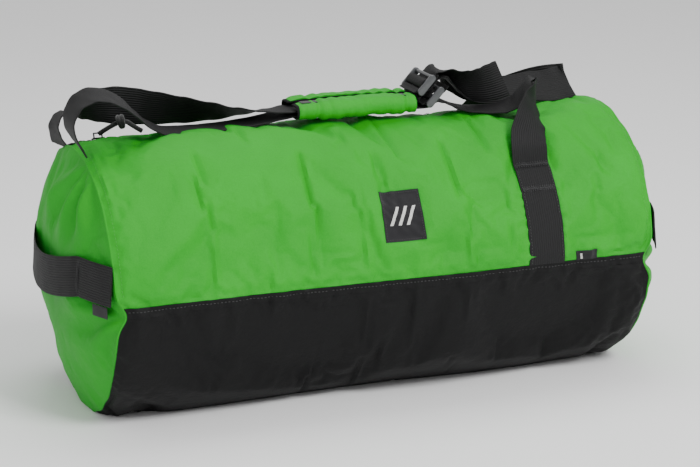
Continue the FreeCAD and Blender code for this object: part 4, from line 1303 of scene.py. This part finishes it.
# ---- the add-on -----------------------------------------------------------------------------------------

class DuffelSizes(PropertyGroup):
    webbing_width: FloatProperty(name="Webbing width", description="Width of every strap", default=WEB,
                                 unit="LENGTH")
    packed_pressure: FloatProperty(name="Packed pressure",
                                   description="How hard the gear pushes on the cloth", default=3.0,
                                   min=0.0, max=10.0)
    grip_fill: FloatProperty(name="Grip fill", description="How tightly the grip is padded", default=0.7,
                             subtype="FACTOR", min=0.0, max=1.0)


def piece_operator(idname, label, text, builder):
    """An operator class that builds one group of pieces."""
    def execute(self, context):
        builder(context.scene.duffel_sizes)
        return {"FINISHED"}
    return type(f"DUFFEL_OT_{idname}", (Operator,), {"bl_idname": f"duffel.{idname}", "bl_label": label,
                                                     "__doc__": text, "bl_options": {"REGISTER", "UNDO"},
                                                     "execute": execute})


GROUPS = (
    ("shell", "Bag shell", "Builds the side, base and end panels with their seams", build_shell),
    ("zip", "Zip", "Builds the tapes, coils, slider and stops", build_zip),
    ("straps", "Carry straps", "Builds the four carry straps", build_straps),
    ("locks", "Ladder locks", "Builds both ladder locks", build_locks),
    ("handles", "End handles", "Builds the end handles and the end label", build_handles),
    ("labels", "Labels", "Builds the front label and the side flag", build_labels),
    ("grip", "Grip", "Builds the padded grip", build_grip),
    ("pull", "Zip pull", "Builds the zip pull cord and its knot", build_pull),
    ("stage", "Stage", "Sets the camera, the floor and the lights", build_stage),
)
OPERATORS = [piece_operator(*group) for group in GROUPS]


class DUFFEL_PT_panel(Panel):
    """Buttons for each group of pieces"""
    bl_label = "Barrel duffel"
    bl_idname = "DUFFEL_PT_panel"
    bl_space_type = "VIEW_3D"
    bl_region_type = "UI"
    bl_category = "Duffel"

    def draw(self, context):
        sizes = context.scene.duffel_sizes
        self.layout.prop(sizes, "webbing_width")
        self.layout.prop(sizes, "packed_pressure")
        self.layout.prop(sizes, "grip_fill")
        for group in GROUPS:
            self.layout.operator(f"duffel.{group[0]}")


CLASSES = [DuffelSizes] + OPERATORS + [DUFFEL_PT_panel]


def register():
    for item in CLASSES:
        bpy.utils.register_class(item)
    bpy.types.Scene.duffel_sizes = PointerProperty(type=DuffelSizes)


def unregister():
    del bpy.types.Scene.duffel_sizes
    for item in reversed(CLASSES):
        bpy.utils.unregister_class(item)


def main():
    register()
    make_finishes()
    for group in GROUPS:
        idname, label = group[:2]
        if getattr(bpy.ops.duffel, idname)() != {"FINISHED"}:
            raise RuntimeError(f"{label} was not built")


if __name__ == "__main__":
    main()
